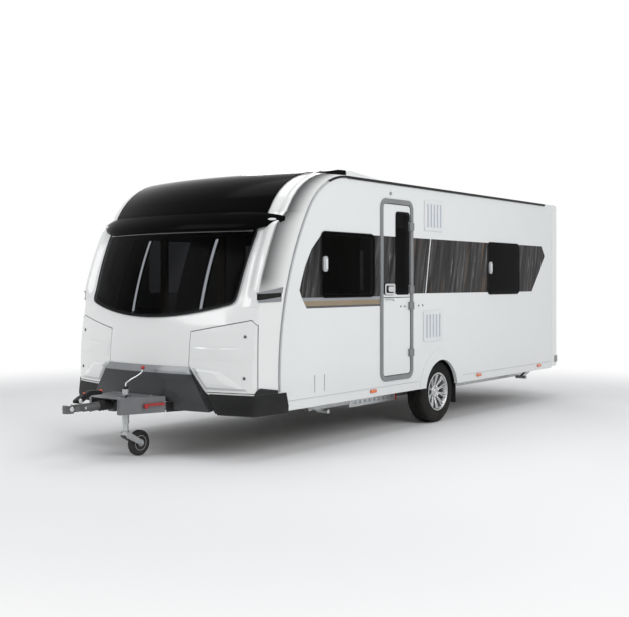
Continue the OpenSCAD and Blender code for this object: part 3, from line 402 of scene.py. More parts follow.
def painted_cheek_shade_gel():
    """The front's gel coat with painted shade: a painted reflection of a dark surround darkens the cheeks behind the
    pillars' crests.
    """
    m = finish("painted_cheek_shade_gel_coat", *GEL_WHITE, **GEL_LOOK)
    nt, shader = m.node_tree, shader_of(m)
    co, xyz, side = add(nt, "TexCoord"), add(nt, "SeparateXYZ"), add(nt, "Math", operation="ABSOLUTE")
    wire(nt, (co, "Object", xyz, 0), (xyz, "Y", side, 0))

    def ramp(source, out, lo, hi):
        r = add(nt, "MapRange", {"From Min": lo, "From Max": hi}, interpolation_type="SMOOTHSTEP")
        wire(nt, (source, out, r, "Value"))
        return r

    shade, out = ramp(side, 0, 1.104, 1.113), "Result"
    for fall in (ramp(side, 0, 1.1425, 1.113), ramp(xyz, "Z", 1.30, 1.56)):
        times = add(nt, "Math", operation="MULTIPLY")
        wire(nt, (shade, out, times, 0), (fall, "Result", times, 1))
        shade, out = times, 0
    # painted shade: near-black mixed into the gel coat on the upper cheeks, fading towards the side walls
    mix = add(nt, "Mix", data_type="RGBA")
    put(mix, {MIX_B: (.030, .031, .033, 1)})
    nt.links.new(shader.inputs["Base Color"].links[0].from_socket, mix.inputs[MIX_A])
    wire(nt, (shade, out, mix, MIX_FAC), (mix, MIX_OUT, shader, "Base Color"))
    return m


FRONT_GEL_PAINTED_SHADE = painted_cheek_shade_gel()


def upholstery(name, colour, second):
    """Woven cloth: two crossing waves for the threads, a soft sheen."""
    m = finish(name, colour, second, rough=.85, scale=4, sheen=.4)
    nt = m.node_tree
    co, weave = add(nt, "TexCoord"), add(nt, "Math", operation="MAXIMUM")
    for k, axis in enumerate("XY"):
        w = add(nt, "TexWave", {"Scale": 150, "Distortion": 1.5}, bands_direction=axis)
        wire(nt, (co, "Object", w, "Vector"), (w, "Fac", weave, k))
    emboss(nt, weave, 0, .4)
    return m


SEAT_CLOTH = upholstery("seat_cloth", (.36, .33, .29), (.30, .27, .24))
BED_CLOTH = upholstery("bed_cloth", (.55, .54, .52), (.48, .47, .45))

# Finishes of the solids and the width of their eased edges
BODY = "caravan"
CAD_FINISH = {
    GALVANISED: ("chassis_rail_left chassis_rail_right cross_members axle_tube trailing_arms jockey_sleeve "
                 "jockey_tube jockey_fork steady_brackets steady_front_left steady_front_right "
                 "steady_rear_left steady_rear_right", .001),
    CAST_STEEL: ("overrun_housing coupling_head", .003),
    RUBBER: ("overrun_gaiter jockey_wheel", .002),
    BLACK_PLASTIC: ("coupling_handle drawbar_boards front_bumpers wheel_boxes awning_rails", .002),
    GREY_PLASTIC: ("grab_handles rear_bumper", .003),
    COVER_GREY: ("hitch_cover", .006),
    RED_PLASTIC: ("handbrake_lever", .004),
    FRAME_GREY: ("door_frame", .003),
    WHITE_SIDE: ("side_wall_left side_wall_right roof", 0),
    WHITE_LEAF: ("door_upper door_lower", .0015),
    WHITE_GEL: ("rear_panel locker_door_left locker_door_right roof_fairings", .002),
    # the front panel takes the gel coat with the painted cheek shade
    FRONT_GEL_PAINTED_SHADE: ("front_panel", .003),
    GLOSS_BLACK: ("front_top_panel front_visor rooflights door_handle", .002),
    NOSE_GREY: ("front_nose", .006),
    GLASS: ("front_window side_windows door_window", 0),
    RED_LENS: ("rear_lamps", .003),
    ORANGE_LENS: ("side_markers", .003),
    WHITE_PLASTIC: ("fridge_vents", .0015),
    WOOD: ("cabinets", .001),
    PALE_BOARD: ("gas_locker", .001),
    FLOOR_BOARD: ("floor", .001),
    ALLOY: ("rim_left rim_right", .002),
    TYRE: ("tyre_left tyre_right", 0),
    GALVANISED.copy(): ("jockey_crank", .001),
    SEAT_CLOTH: ("settees", 0),
    BED_CLOTH: ("rear_bed", 0),
}


def dress_solids():
    """Gives each solid its finish, joins its triangles, eases its edges and smooths its shading."""
    for material, (names, ease) in CAD_FINISH.items():
        for name in names.split():
            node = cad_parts[name]
            node.data.materials.clear()
            node.data.materials.append(material)
            for p in node.data.polygons:
                p.use_smooth = True
                p.material_index = 0
            weld = node.modifiers.new("join", "WELD")
            weld.merge_threshold = 1e-5
            if ease:
                b = node.modifiers.new("ease", "BEVEL")
                b.width, b.segments, b.limit_method, b.angle_limit = ease, 2, "ANGLE", EASE_ANGLE
                b.use_clamp_overlap = True
                even = node.modifiers.new("flat_faces", "WEIGHTED_NORMAL")
                even.mode, even.weight = "FACE_AREA", 90
            else:
                split = node.modifiers.new("crease", "EDGE_SPLIT")
                split.split_angle = radians(34)


dress_solids()


def repaint(mesh, material, chosen):
    """A second finish on the faces that chosen() picks by their centre."""
    mesh.materials.append(material)
    for p in mesh.polygons:
        if chosen(p.center):
            p.material_index = 1


def solid_mesh(name):
    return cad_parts[name].data


# Mesh builders
def steps(a, b, n):
    """n even steps from a to b, both ends with them."""
    return [a + (b - a) * i / n for i in range(n + 1)]


def turns(n):
    return [2 * pi * i / n for i in range(n)]


def piece(name, verts, faces, material, body=BODY, slot=None, ease=0.0, smooth=34, segments=2):
    """A new piece from points and faces, with outward normals, eased edges and smooth shading."""
    mesh = bpy.data.meshes.new(name)
    mesh.from_pydata([tuple(v) for v in verts], [], faces)
    bm = bmesh.new()
    bm.from_mesh(mesh)
    bmesh.ops.remove_doubles(bm, verts=bm.verts, dist=1e-6)
    bmesh.ops.recalc_face_normals(bm, faces=bm.faces)
    bm.to_mesh(mesh)
    bm.free()
    for p in mesh.polygons:
        p.use_smooth = True
    mesh.set_sharp_from_angle(angle=radians(smooth))
    mesh.materials.append(material)
    obj = bpy.data.objects.new(name, mesh)
    scene.collection.objects.link(obj)
    if ease:
        b = obj.modifiers.new("ease", "BEVEL")
        b.width, b.segments, b.limit_method = ease, segments, "ANGLE"
        b.angle_limit = EASE_ANGLE
    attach(obj, body)
    return obj


def grid(rows, closed_u=False, closed_v=False):
    """Points and quads of a grid of rows."""
    n, m = len(rows), len(rows[0])
    verts = [v for row in rows for v in row]
    faces = []
    for i in range(n if closed_v else n - 1):
        for j in range(m if closed_u else m - 1):
            a, b = i * m + j, i * m + (j + 1) % m
            c, d = ((i + 1) % n) * m + (j + 1) % m, ((i + 1) % n) * m + j
            faces.append((a, b, c, d))
    return verts, faces


def loft(loops):
    """Closed loops joined into a solid."""
    verts, faces = grid(loops, closed_u=True)
    m = len(loops[0])
    return verts, faces + [tuple(range(m)), tuple(range(len(verts) - m, len(verts)))]


def join(*parts):
    verts, faces = [], []
    for v, f in parts:
        k = len(verts)
        verts += list(v)
        faces += [tuple(i + k for i in face) for face in f]
    return verts, faces


def tube(path, r, n=10, closed=False, flat=1.0):
    """Round bar along a path; flat squeezes it upwards."""
    pts = [Vector(p) for p in path]
    rows, up = [], None
    for i, p in enumerate(pts):
        a = pts[i - 1] if (closed or i > 0) else p
        b = pts[(i + 1) % len(pts)] if (closed or i < len(pts) - 1) else p
        t = (b - a).normalized()
        if up is None:
            up = Vector((0, 0, 1)) if abs(t.z) < .9 else Vector((1, 0, 0))
        side = t.cross(up).normalized()
        up = side.cross(t).normalized()
        rr = r[i] if isinstance(r, (list, tuple)) else r
        rows.append([p + side * rr * cos(k) + up * rr * flat * sin(k) for k in turns(n)])
    verts, faces = grid(rows, closed_u=True, closed_v=closed)
    if not closed:
        faces += [tuple(range(n)), tuple(range(len(verts) - n, len(verts)))]
    return verts, faces


def lathe(profile, centre, axis="y", n=48):
    """Ring of a closed (radius, offset) outline about an axis through centre."""
    c = Vector(centre)
    rows = []
    for k in turns(n):
        row = []
        for r, h in profile:
            u, v = r * cos(k), r * sin(k)
            row.append(c + Vector({"x": (h, u, v), "y": (u, h, v), "z": (u, v, h)}[axis]))
        rows.append(row)
    return grid(rows, closed_u=True, closed_v=True)


def solid_of(outline, holes, place, t):
    """Panel of thickness t from an outline with holes; place(u, v, w) sets a point."""
    loops = [outline] + holes
    flat = [[Vector((u, v, 0)) for u, v in loop] for loop in loops]
    tris = tessellate_polygon(flat)
    pts = [p for loop in loops for p in loop]
    n = len(pts)
    verts = [place(u, v, t) for u, v in pts] + [place(u, v, 0) for u, v in pts]
    faces = [tuple(f) for f in tris] + [tuple(i + n for i in reversed(f)) for f in tris]
    k = 0
    for loop in loops:
        m = len(loop)
        faces += [(k + i, k + (i + 1) % m, n + k + (i + 1) % m, n + k + i) for i in range(m)]
        k += m
    return verts, faces


def rounded(x0, z0, x1, z1, r, n=6):
    """Rounded rectangle as a list of points."""
    pts = []
    for cx, cz, a0 in ((x1 - r, z1 - r, 0), (x0 + r, z1 - r, 90), (x0 + r, z0 + r, 180), (x1 - r, z0 + r, 270)):
        for i in range(n + 1):
            a = radians(a0 + 90 * i / n)
            pts.append((cx + r * cos(a), cz + r * sin(a)))
    return pts


def on_side(side, y):
    """Place on a side wall's face: x is given from the axle, y is the height of the lower face."""
    return lambda x, z, w: (x - MID, side * (y + w), z)


SIDES = (("left", 1), ("right", -1))


# Band and strips on the sides
WIN_Z = (1.368, 1.962)
WINDOWS = {"front": (1.305, 2.167), "rear": (-1.871, -1.051)}
KITCHEN = (-.060, .640)
BAND_FOOT, BAND_TOP = 1.388, 1.958
STRIP_TOP = 1.3665
DOOR = (.592, 1.198)
LEAF = (.647, 1.143)
FILM_T = .0005


def side_bands():
    inset, above = .02, .022
    for name, side in SIDES:
        place = on_side(side, HALF_W + .0002)
        front_end = [(2.130, BAND_TOP), (2.222, 1.878), (2.309, 1.795), (2.401, 1.644), (2.450, 1.52), (2.480, 1.432),
                     (2.447, STRIP_TOP)]
        rear_end = [(-2.230, BAND_FOOT), (-2.627, 1.834), (-2.531, BAND_TOP)]
        panes = list(WINDOWS.values()) + ([KITCHEN] if side < 0 else [])
        wins = [rounded(a + inset, WIN_Z[0] + above, b - inset, WIN_Z[1] - above, .045)[::-1] for a, b in panes]
        if side > 0:
            ahead, behind = DOOR[1] + .002, DOOR[0] - .002
            spans = [[(ahead, BAND_TOP)] + front_end + [(ahead, STRIP_TOP)],
                     rear_end + [(behind, BAND_TOP), (behind, BAND_FOOT)]]
        else:
            spans = [rear_end + front_end + [(.90, STRIP_TOP), (.90, BAND_FOOT)]]
        for k, span in enumerate(spans):
            lo, hi = min(p[0] for p in span), max(p[0] for p in span)
            cut = [w for w in wins if lo < w[0][0] < hi]
            piece(f"band_{name}_{k}", *solid_of(span, clip_holes(cut), place, FILM_T), BAND)
        if side > 0:
            seam = [(.224, BAND_TOP), (.240, BAND_TOP), (.343, BAND_FOOT), (.327, BAND_FOOT)]
            piece("band_seam", *solid_of(seam, [], on_side(side, HALF_W + .0008), FILM_T), WHITE_SIDE)
        x1 = 1.202 if side > 0 else .90
        edges = ((2.447, 1.366), (2.425, 1.337), (2.392, 1.292), (2.377, 1.272))
        kinds = (("grey", STRIP_GREY), ("tan", STRIP_TAN), ("dark", STRIP_DARK))
        for (kind, material), upper, lower in zip(kinds, edges, edges[1:]):
            outline = [(x1, upper[1]), upper, lower, (x1, lower[1])]
            piece(f"strip_{kind}_{name}", *solid_of(outline, [], place, FILM_T), material)
    # the band carries on over the upper door leaf, beside its window
    x0, x1 = LEAF[0] + .266, LEAF[1] - .001
    outline = [(x1, BAND_FOOT), (x1, BAND_TOP), (x0, BAND_TOP), (x0, BAND_FOOT)]
    piece("band_door", *solid_of(outline, [], on_side(1, HALF_W + .0022), FILM_T), BAND, body="door_top")


def clip_holes(loops):
    """Holes reach past the band's edges nowhere, so keep them just inside its height."""
    return [[(x, min(max(z, BAND_FOOT + .002), BAND_TOP - .002)) for x, z in loop] for loop in loops]


side_bands()


# Window seals, catches and small fittings of the sides
def side_fittings():
    for name, side in SIDES:
        spans = list(WINDOWS.items()) + ([("kitchen", KITCHEN)] if side < 0 else [])
        for kind, (a, b) in spans:
            loop = [(x - MID, side * (HALF_W + .0045), z)
                    for x, z in rounded(a - .003, WIN_Z[0] - .003, b + .003, WIN_Z[1] + .003, .062, 8)]
            piece(f"seal_{kind}_{name}", *tube(loop, .0045, 8, closed=True), RUBBER)
            # catch at the front edge
            xc = b - .045
            body = solid_of(rounded(xc - .030, 1.60, xc + .034, 1.74, .028), [], on_side(side, HALF_W + .0115), .016)
            piece(f"catch_{kind}_{name}", *body, GREY_LIGHT, ease=.006, segments=3)
            grip = solid_of(rounded(xc - .012, 1.625, xc + .012, 1.715, .011), [], on_side(side, HALF_W + .0278),
                            .008)
            piece(f"catch_grip_{kind}_{name}", *grip, WHITE_PLASTIC, ease=.003)
        # groove where skirt and wall meet, and the two short ribs near the front
        spans = ((-2.80, -.47), (.47, 2.74))
        for k, (a, b) in enumerate(spans):
            path = [(x - MID, side * (HALF_W + .0005), .478) for x in (a, b)]
            piece(f"skirt_line_{name}_{k}", *tube(path, .003, 6), GROOVE)
        for k, x in enumerate((2.113, 2.260)):
            rib = solid_of(rounded(x - .005, .520, x + .005, .674, .0045), [], on_side(side, HALF_W + .0003), .004)
            piece(f"rib_{name}_{k}", *rib, GROOVE, slot="white_plastic", ease=.0015)


side_fittings()


# Tyres with road tread and plain sidewalls
TYRE_R, RIM_R = .330, .204


def tyre(name, side, body, node):
    n = 240
    half = [(RIM_R - .004, .092), (RIM_R + .004, .0955), (RIM_R + .012, .0975), (RIM_R + .022, .0995),
            (RIM_R + .045, .1018), (RIM_R + .062, .1024), (RIM_R + .066, .1006), (RIM_R + .070, .1020),
            (RIM_R + .085, .0995), (RIM_R + .100, .0955), (RIM_R + .110, .0900), (RIM_R + .118, .0835),
            (TYRE_R - .0025, .074), (TYRE_R - .0012, .060)]
    tread = [(TYRE_R, .0580), (TYRE_R, .0400), (TYRE_R - .007, .0385), (TYRE_R - .007, .0315), (TYRE_R, .0300),
             (TYRE_R, .0130), (TYRE_R - .007, .0115), (TYRE_R - .007, .0045), (TYRE_R, .0030)]
    outer = half + tread
    ring = outer + [(r, -h) for r, h in reversed(outer)]
    ring += [(RIM_R - .006, -.088), (RIM_R - .006, .088)]
    rows = []
    for i in range(n):
        row = []
        for r, h in ring:
            # cross cuts on the shoulder and the ribs, offset from rib to rib
            shift = 0 if abs(h) > .045 else (1 if abs(h) > .02 else 2)
            cut = (i + shift * 2) % 6 == 0
            rr = r - (.006 if cut and r > TYRE_R - .004 and abs(h) > .0025 else 0)
            k = 2 * pi * (i + (h * 14 if r > TYRE_R - .03 else 0)) / n
            row.append((WHEEL_X + rr * cos(k), side * (WHEEL_Y + h), WHEEL_Z + rr * sin(k)))
        rows.append(row)
    obj = piece(name, *grid(rows, closed_u=True, closed_v=True), TYRE, body=body, smooth=28)
    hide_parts(node)


def alloy(name, side, body, node):
    """Ten-spoke alloy: barrel, lip, hub, paired spokes with a dish, nuts and cap."""
    c = (WHEEL_X, side * WHEEL_Y, WHEEL_Z)
    s = side
    barrel = [(RIM_R - .0255, -.092), (RIM_R - .0065, -.092), (RIM_R - .0065, .0955), (RIM_R - .001, .0975),
              (RIM_R, .1005), (RIM_R - .002, .1032), (RIM_R - .010, .1035), (RIM_R - .0145, .0990),
              (RIM_R - .018, .082), (RIM_R - .0255, .070)]
    parts = [lathe([(r, s * h) for r, h in barrel], c, n=96)]
    hub = [(.0225, -.02), (.060, -.02), (.066, .030), (.070, .058), (.066, .066), (.040, .070), (.034, .064),
           (.0225, .062)]
    parts.append(lathe([(r, s * h) for r, h in hub], c, n=64))
    for i in range(10):
        base = 2 * pi * (i + .5) / 10
        for off in (-.085, .085):
            rows = []
            for r, w, h, t, spread in ((.056, .011, .060, .020, .5), (.085, .010, .067, .022, .62),
                                       (.120, .0088, .078, .022, .8), (.155, .0082, .088, .020, .95),
                                       (.182, .0095, .094, .020, 1.0)):
                k = base + off * spread
                u = Vector((cos(k), 0, sin(k)))
                side_dir = Vector((-sin(k), 0, cos(k)))
                mid = Vector(c) + u * r
                row = []
                for a, b in ((-1, -1), (1, -1), (1, .2), (.55, 1), (-.55, 1), (-1, .2)):
                    row.append(mid + side_dir * w * a + Vector((0, s * (h - t / 2 + t / 2 * b), 0)))
                rows.append(row)
            parts.append(loft(rows))
    obj = piece(name, *join(*parts), ALLOY, body=body, ease=.0015, smooth=40)
    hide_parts(node)
    cap = [(0.0005, .0700), (.020, .0705), (.027, .0695), (.031, .0670), (.032, .060), (.0005, .060)]
    piece(name + "_cap", *lathe([(r, s * h) for r, h in cap], c, n=48), ALLOY, body=body)
    nuts = []
    for i in range(5):
        k = 2 * pi * i / 5 + .3
        p = (c[0] + .049 * cos(k), c[1], c[2] + .049 * sin(k))
        nut = [(0.0004, .066), (.0085, .066), (.0095, .080), (.006, .083), (.0004, .084)]
        nuts.append(lathe([(r, s * h) for r, h in nut], p, n=6))
    piece(name + "_nuts", *join(*nuts), BRIGHT_STEEL, body=body, slot="alloy", smooth=20)
    drum = [(.0228, -.070), (.128, -.070), (.128, -.012), (.118, -.006), (.0228, -.006)]
    piece(name + "_drum", *lathe([(r, s * h) for r, h in drum], c, n=64), CAST_STEEL, body=body, ease=.003)
    k = radians(20)
    stem = [(c[0] + r * cos(k), c[1] + s * h, c[2] + r * sin(k))
            for r, h in ((.176, .086), (.172, .098), (.166, .108))]
    piece(name + "_valve", *tube(stem, .0035, 8), RUBBER, body=body)


for wheel_name, wheel_side in SIDES:
    tyre(f"tyre_tread_{wheel_name}", wheel_side, f"wheel_{wheel_name}", f"tyre_{wheel_name}")
    alloy(f"alloy_{wheel_name}", wheel_side, f"wheel_{wheel_name}", f"rim_{wheel_name}")


# Helpers for pieces laid on the front
def front_strip(low, high, y0, y1, e, t, n=24, m=2):
    """Strip on the front between two edges z(y), from offset e to e + t."""
    loops = []
    for y in steps(y0, y1, n):
        zs = steps(low(y), high(y), m)
        loops.append([skin(y, z, e + t) for z in zs] + [skin(y, z, e) for z in reversed(zs)])
    return loft(loops)


def button(centre, normal, r, h, n=20, dome=.35):
    """Round boss with a crowned top, standing on a face."""
    nrm = Vector(normal).normalized()
    u = nrm.cross(Vector((0, 0, 1))) if abs(nrm.z) < .9 else nrm.cross(Vector((1, 0, 0)))
    u.normalize()
    v = nrm.cross(u)
    c = Vector(centre)
    loops = []
    for k, w in ((1, 0), (1, 1 - dome), (.86, 1 - dome * .3), (.5, 1 - dome * .05), (.04, 1)):
        loops.append([c + (u * cos(a) + v * sin(a)) * r * k + nrm * h * w for a in turns(n)])
    return loft(loops)


def fillet(points, r, n=6):
    """Rounds the sharp corners of a closed outline."""
    out, m = [], len(points)
    for i in range(m):
        p = Vector(points[i])
        a, b = Vector(points[i - 1]) - p, Vector(points[(i + 1) % m]) - p
        turn = pi - a.angle(b)
        if turn < .3:
            out.append(tuple(p))
            continue
        d = min(r * tan(turn / 2), a.length * .95, b.length * .95)
        s0, s1 = p + a.normalized() * d, p + b.normalized() * d
        out += [tuple(s0 * (1 - k) ** 2 + p * 2 * k * (1 - k) + s1 * k * k) for k in steps(0, 1, n)]
    return out


def spread(points, step):
    """Adds points so that no side of a closed outline is longer than step."""
    out = []
    for i, p in enumerate(points):
        q = points[(i + 1) % len(points)]
        k = max(1, ceil(dist(p, q) / step))
        out += [tuple(a + (b - a) * j / k for a, b in zip(p, q)) for j in range(k)]
    return out


def front_normal(y, z):
    return skin(y, z, 1.0) - skin(y, z, 0.0)


# Front: gasket, visor lamps, infill beside the nose
VISOR_Z = 2.060
WINDOW_EDGE = [(i * .112, 1.196 + .002 * i * i) for i in range(-8, 9)] + [(.942, 1.990), (-.942, 1.990)]


def front_trim():
    edge = spread(fillet(WINDOW_EDGE, .07), .06)
    path = [skin(y, z, .0155) for y, z in edge]
    piece("front_window_gasket", *tube(path, .0055, 8, closed=True), RUBBER)
    strip = front_strip(lambda y: 1.936, lambda y: 1.952, -.90, .90, .0155, .003, n=40)
    piece("visor_shade_strip", *strip, STRIP_DARK, ease=.001)
    band = front_strip(lambda y: 2.030, lambda y: 2.1335, -.966, .966, .0004, .0125, n=40, m=4)
    piece("visor_back_panel", *band, GLOSS_BLACK)
    for name, side in SIDES:
        # moulding of the pillar, faded out behind the visor's wing
        loops = []
        for z in steps(1.292, 2.115, 34):
            fade = 1 - share(z, 2.0, 2.11)
            ys = steps(.958, 1.09, 24)[:-1] + steps(1.09, 1.1395, 36)
            outer = [skin(side * v, z, .0012, fade) for v in ys]
            inner = [skin(side * v, z, -.002) for v in reversed(ys)]
            loops.append(outer + inner)
        # the moulding carries the gel coat's painted cheek shade
        piece(f"pillar_moulding_{name}", *loft(loops), FRONT_GEL_PAINTED_SHADE, smooth=40)
        # lens on the visor's wing
        zc, y = VISOR_Z, 1.036
        k = 1 - .75 * ((y - .8) / .336) ** 2
        bow = UPPER_PLAN[0]
        t, r = asin(y / bow), bow + .02 + .060 * k
        x = profile_x(angle_at(zc)) + FRONT_DEPTH - bow + r * cos(t) - MID
        y, z = r * sin(t), zc + (2.038 - zc) * k
        loops = []
        for w, h in ((1, -.006), (1, .002), (.85, .006), (.5, .009), (.05, .010)):
            loops.append([(x + h - .36 * .034 * w * cos(a), side * (y + .034 * w * cos(a)),
                           z + .011 * w * sin(a)) for a in turns(20)])
        piece(f"visor_lamp_{name}", *loft(loops), CLEAR_LENS)
        # dark infill between nose and locker
        loops = []
        for zz in steps(.390, .752, 12):
            a = .495 + (.790 - zz) * .641 + .004
            b = max(a + .003, .504 + (.790 - zz) * .7685 - .0095) if zz > .56 else .790 - (zz - .370) * .442 - .003
            ys = [a, (a + b) / 2, b]
            loops.append([skin(side * v, zz, .006) for v in ys] + [skin(side * v, zz, .0006) for v in reversed(ys)])
        piece(f"nose_infill_{name}", *loft(loops), BLACK_PLASTIC)
        # grab recess along the cheek: wedge on top, painted shade in the opening, lip below
        for kind, edges, rise, material, start in GRAB_PARTS:
            loops = []
            for v, k in cheek_steps(start):
                zs = [e0 + (e1 - e0) * k for e0, e1 in edges]
                zs.insert(1, (zs[0] + zs[1]) / 2)
                loops.append([skin(side * v, zz, rise, 1.0) for zz in zs]
                             + [skin(side * v, zz, .0002, 1.0) for zz in reversed(zs)])
            part = piece(f"grab_{kind}_{name}", *loft(loops), material, slot="grey_plastic",
                         ease=.002 if rise > .008 else 0)
            if kind == "wedge":
                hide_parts("grab_handles")
        # black corner that rises from the bumper behind the locker
        corner = front_strip(lambda v: .556,
                             lambda v: .560 + .055 * share(abs(v), 1.106, 1.118) - .030 * share(abs(v), 1.118, 1.139),
                             side * 1.106, side * 1.139, .0008, .008, n=30)
        piece(f"bumper_corner_{name}", *corner, BLACK_PLASTIC)
    # painted highlight on the nose's faces above the bevel line
    repaint(solid_mesh("front_nose"), NOSE_PAINTED_HIGHLIGHT, lambda c: c.z > NOSE_BEVEL_Z)


# the opening is a thin near-black sheet of painted shade inside the recess
GRAB_PARTS = (("wedge", ((1.405, 1.414), (1.414, 1.462)), .013, GRAB_GREY, 1.094),
              ("opening", ((1.352, 1.362), (1.405, 1.414)), .003, PAINTED_SHADE_BLACK, 1.094),
              ("lip", ((1.332, 1.338), (1.352, 1.380)), .010, GRAB_GREY, 1.102))


def cheek_steps(start, end=1.1365, n=40):
    """Even steps over the corner and along the cheek, each with its share of the way."""
    fine = steps(start, end, 400)
    pts = [skin(v, 1.40, 0, 1.0) for v in fine]
    way = [0.0]
    for p, q in zip(pts, pts[1:]):
        way.append(way[-1] + (q - p).length)
    out = []
    for i in range(n + 1):
        j = min(range(401), key=lambda m: abs(way[m] - way[-1] * i / n))
        out.append((fine[j], i / n))
    return out


front_trim()


# Front lockers: raised lower facet, crease and locks
def locker_trim():
    for name, side in SIDES:
        body = f"locker_{name}"
        a, b, c, d = (.537, .770), (.82, .752), (1.052, .592), (.674, .592)
        n, m = 14, 8

        def at(u, v, e):
            y = (1 - v) * ((1 - u) * d[0] + u * c[0]) + v * ((1 - u) * a[0] + u * b[0])
            z = (1 - v) * ((1 - u) * d[1] + u * c[1]) + v * ((1 - u) * a[1] + u * b[1])
            return skin(side * y, z, e)

        def rise(u, v):
            rim = min(u / .10, (1 - u) / .34, v / .30, (1 - v) / .10, 1.0)
            return .0012 + .026 * min(1.0, max(0.0, rim)) * (.55 + .45 * u)

        outer = [[at(u / n, v / m, rise(u / n, v / m)) for u in range(n + 1)] for v in range(m + 1)]
        inner = [[at(u / n, v / m, .0004) for u in range(n + 1)] for v in range(m + 1)]
        loops = [o + i[::-1] for o, i in zip(outer, inner)]
        facet = piece(f"locker_facet_{name}", *loft(loops), WHITE_GEL, body=body, smooth=14)
        # painted shade on the facet's left and bottom rims
        repaint(facet.data, FACET_PAINTED_SHADE, lambda p: abs(p.y) < .572 + (.770 - p.z) * .77 or p.z < .618)
        crease = []
        for i, y in enumerate(steps(.53, 1.095, 24)):
            h = .0012 + .0125 * sin(pi * min(1, i / 22)) ** 2
            zs = ((.846, .0004), (.890, h * .45), (.932, h), (.938, h), (.950, .0004))
            crease.append([skin(side * y, z, e) for z, e in zs])
        piece(f"locker_crease_{name}", *loft(crease), WHITE_GEL, body=body, smooth=30)
        for k, (y, z) in enumerate(((1.019, 1.047), (1.025, .699))):
            nrm = front_normal(side * y, z)
            piece(f"locker_lock_{name}_{k}", *button(skin(side * y, z, .0003), nrm, .0125, .006), BLACK_PLASTIC,
                  body=body)
            piece(f"locker_barrel_{name}_{k}", *button(skin(side * y, z, .0058), nrm, .006, .0016), GREY_PLASTIC,
                  body=body)


locker_trim()


# Behind the front window: uprights in painted shade, each with a glowing painted highlight down one edge, worktop,
# overhead lockers, lamps
def cabin_front():
    for k, y0 in enumerate((-.56, .26)):
        loops = []
        for z in steps(1.235, 1.925, 8):
            p, q = skin(y0, z, -.052), skin(y0 + .30, z, -.052)
            loops.append([p, q, q + Vector((-.016, 0, 0)), p + Vector((-.016, 0, 0))])
        piece(f"window_upright_{k}", *loft(loops), PAINTED_SHADE_BLACK, ease=.002)
        # glowing painted highlight down one edge of the upright
        loops = []
        for z in steps(1.25, 1.905, 8):
            p, q = skin(y0 + .272, z, -.050), skin(y0 + .296, z, -.050)
            loops.append([p, q, q + Vector((.006, 0, 0)), p + Vector((.006, 0, 0))])
        piece(f"upright_painted_highlight_{k}", *loft(loops), PAINTED_GLOW_EDGE, ease=.001)
    top = solid_of(rounded(2.16, -.34, 2.54, .34, .05), [], lambda x, y, w: (x - MID, y, 1.02 + w), .028)
    piece("chest_top", *top, PALE_BOARD, ease=.006)
    for k, z in enumerate((.62, .82)):
        front = solid_of(rounded(-.32, z, .32, z + .18, .012), [], lambda y, v, w: (2.185 - MID - w, y, v), .018)
        piece(f"chest_drawer_{k}", *front, WOOD, ease=.003)
        grip = tube([(2.164 - MID, y, z + .13) for y in (-.08, -.078, .078, .08)], [.004, .006, .006, .004], 8)
        piece(f"chest_grip_{k}", *grip, BRIGHT_STEEL, slot="alloy")
    body = solid_of([(2.19, .552), (2.52, .552), (2.52, 1.019), (2.19, 1.019)], [],
                    lambda x, z, w: (x - MID, -.33 + w, z), .66)
    piece("chest_case", *body, WOOD, ease=.002)
    for name, side in SIDES:
        for k in range(3):
            x0 = .30 + k * .62
            case = solid_of([(1.105, 2.05), (1.105, 2.462), (.80, 2.462), (.76, 2.30), (.80, 2.05)], [],
                            lambda y, z, w: (x0 - MID + w, side * y, z), .60)
            piece(f"overhead_locker_{name}_{k}", *case, WOOD if k % 2 else PALE_BOARD, ease=.006)
            grip = tube([(x0 - MID + v, side * .787, 2.10) for v in (.22, .225, .375, .38)],
                        [.003, .006, .006, .003], 8)
            piece(f"overhead_grip_{name}_{k}", *grip, BRIGHT_STEEL, slot="alloy")
    for k, (x, y) in enumerate(((2.0, -.3), (2.0, .3), (1.2, 0), (-.2, 0))):
        ring = button((x - MID, y, 2.4685), (0, 0, -1), .05, .014)
        piece(f"ceiling_lamp_{k}", *ring, CLEAR_LENS)


cabin_front()


# Settees and bed: wooden bases and padded cushions
def cushion(name, lo, hi, material, cell=.03):
    """A cushion that fills a box: its cover is blown up as cloth, its corners stay soft."""
    size = [b - a for a, b in zip(lo, hi)]
    n = [max(2, round(v / cell)) for v in size]
    mesh = bpy.data.meshes.new(name)
    bm = bmesh.new()
    pull = .035
    keep = {}

    def point(i, j, k):
        key = (i, j, k)
        if key not in keep:
            u = [2 * a / b - 1 for a, b in zip(key, n)]
            v = [c * (1 - (pull / (s / 2)) * .5 * (sum(abs(o) ** 6 for o in u) - abs(c) ** 6) / 2)
                 for c, s in zip(u, size)]
            keep[key] = bm.verts.new([a + (w + 1) / 2 * s for a, w, s in zip(lo, v, size)])
        return keep[key]

    for axis in range(3):
        p, q = [d for d in range(3) if d != axis]
        for end in (0, n[axis]):
            for i in range(n[p]):
                for j in range(n[q]):
                    ring = []
                    for di, dj in ((0, 0), (1, 0), (1, 1), (0, 1)):
                        key = [0, 0, 0]
                        key[axis], key[p], key[q] = end, i + di, j + dj
                        ring.append(point(*key))
                    bm.faces.new(ring)
    bmesh.ops.recalc_face_normals(bm, faces=bm.faces)
    bm.to_mesh(mesh)
    bm.free()
    for f in mesh.polygons:
        f.use_smooth = True
    mesh.materials.append(material)
    obj = bpy.data.objects.new(name, mesh)
    scene.collection.objects.link(obj)
    swell(obj)
    fine = obj.modifiers.new("fine", "SUBSURF")
    fine.levels = fine.render_levels = 1
    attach(obj, BODY)


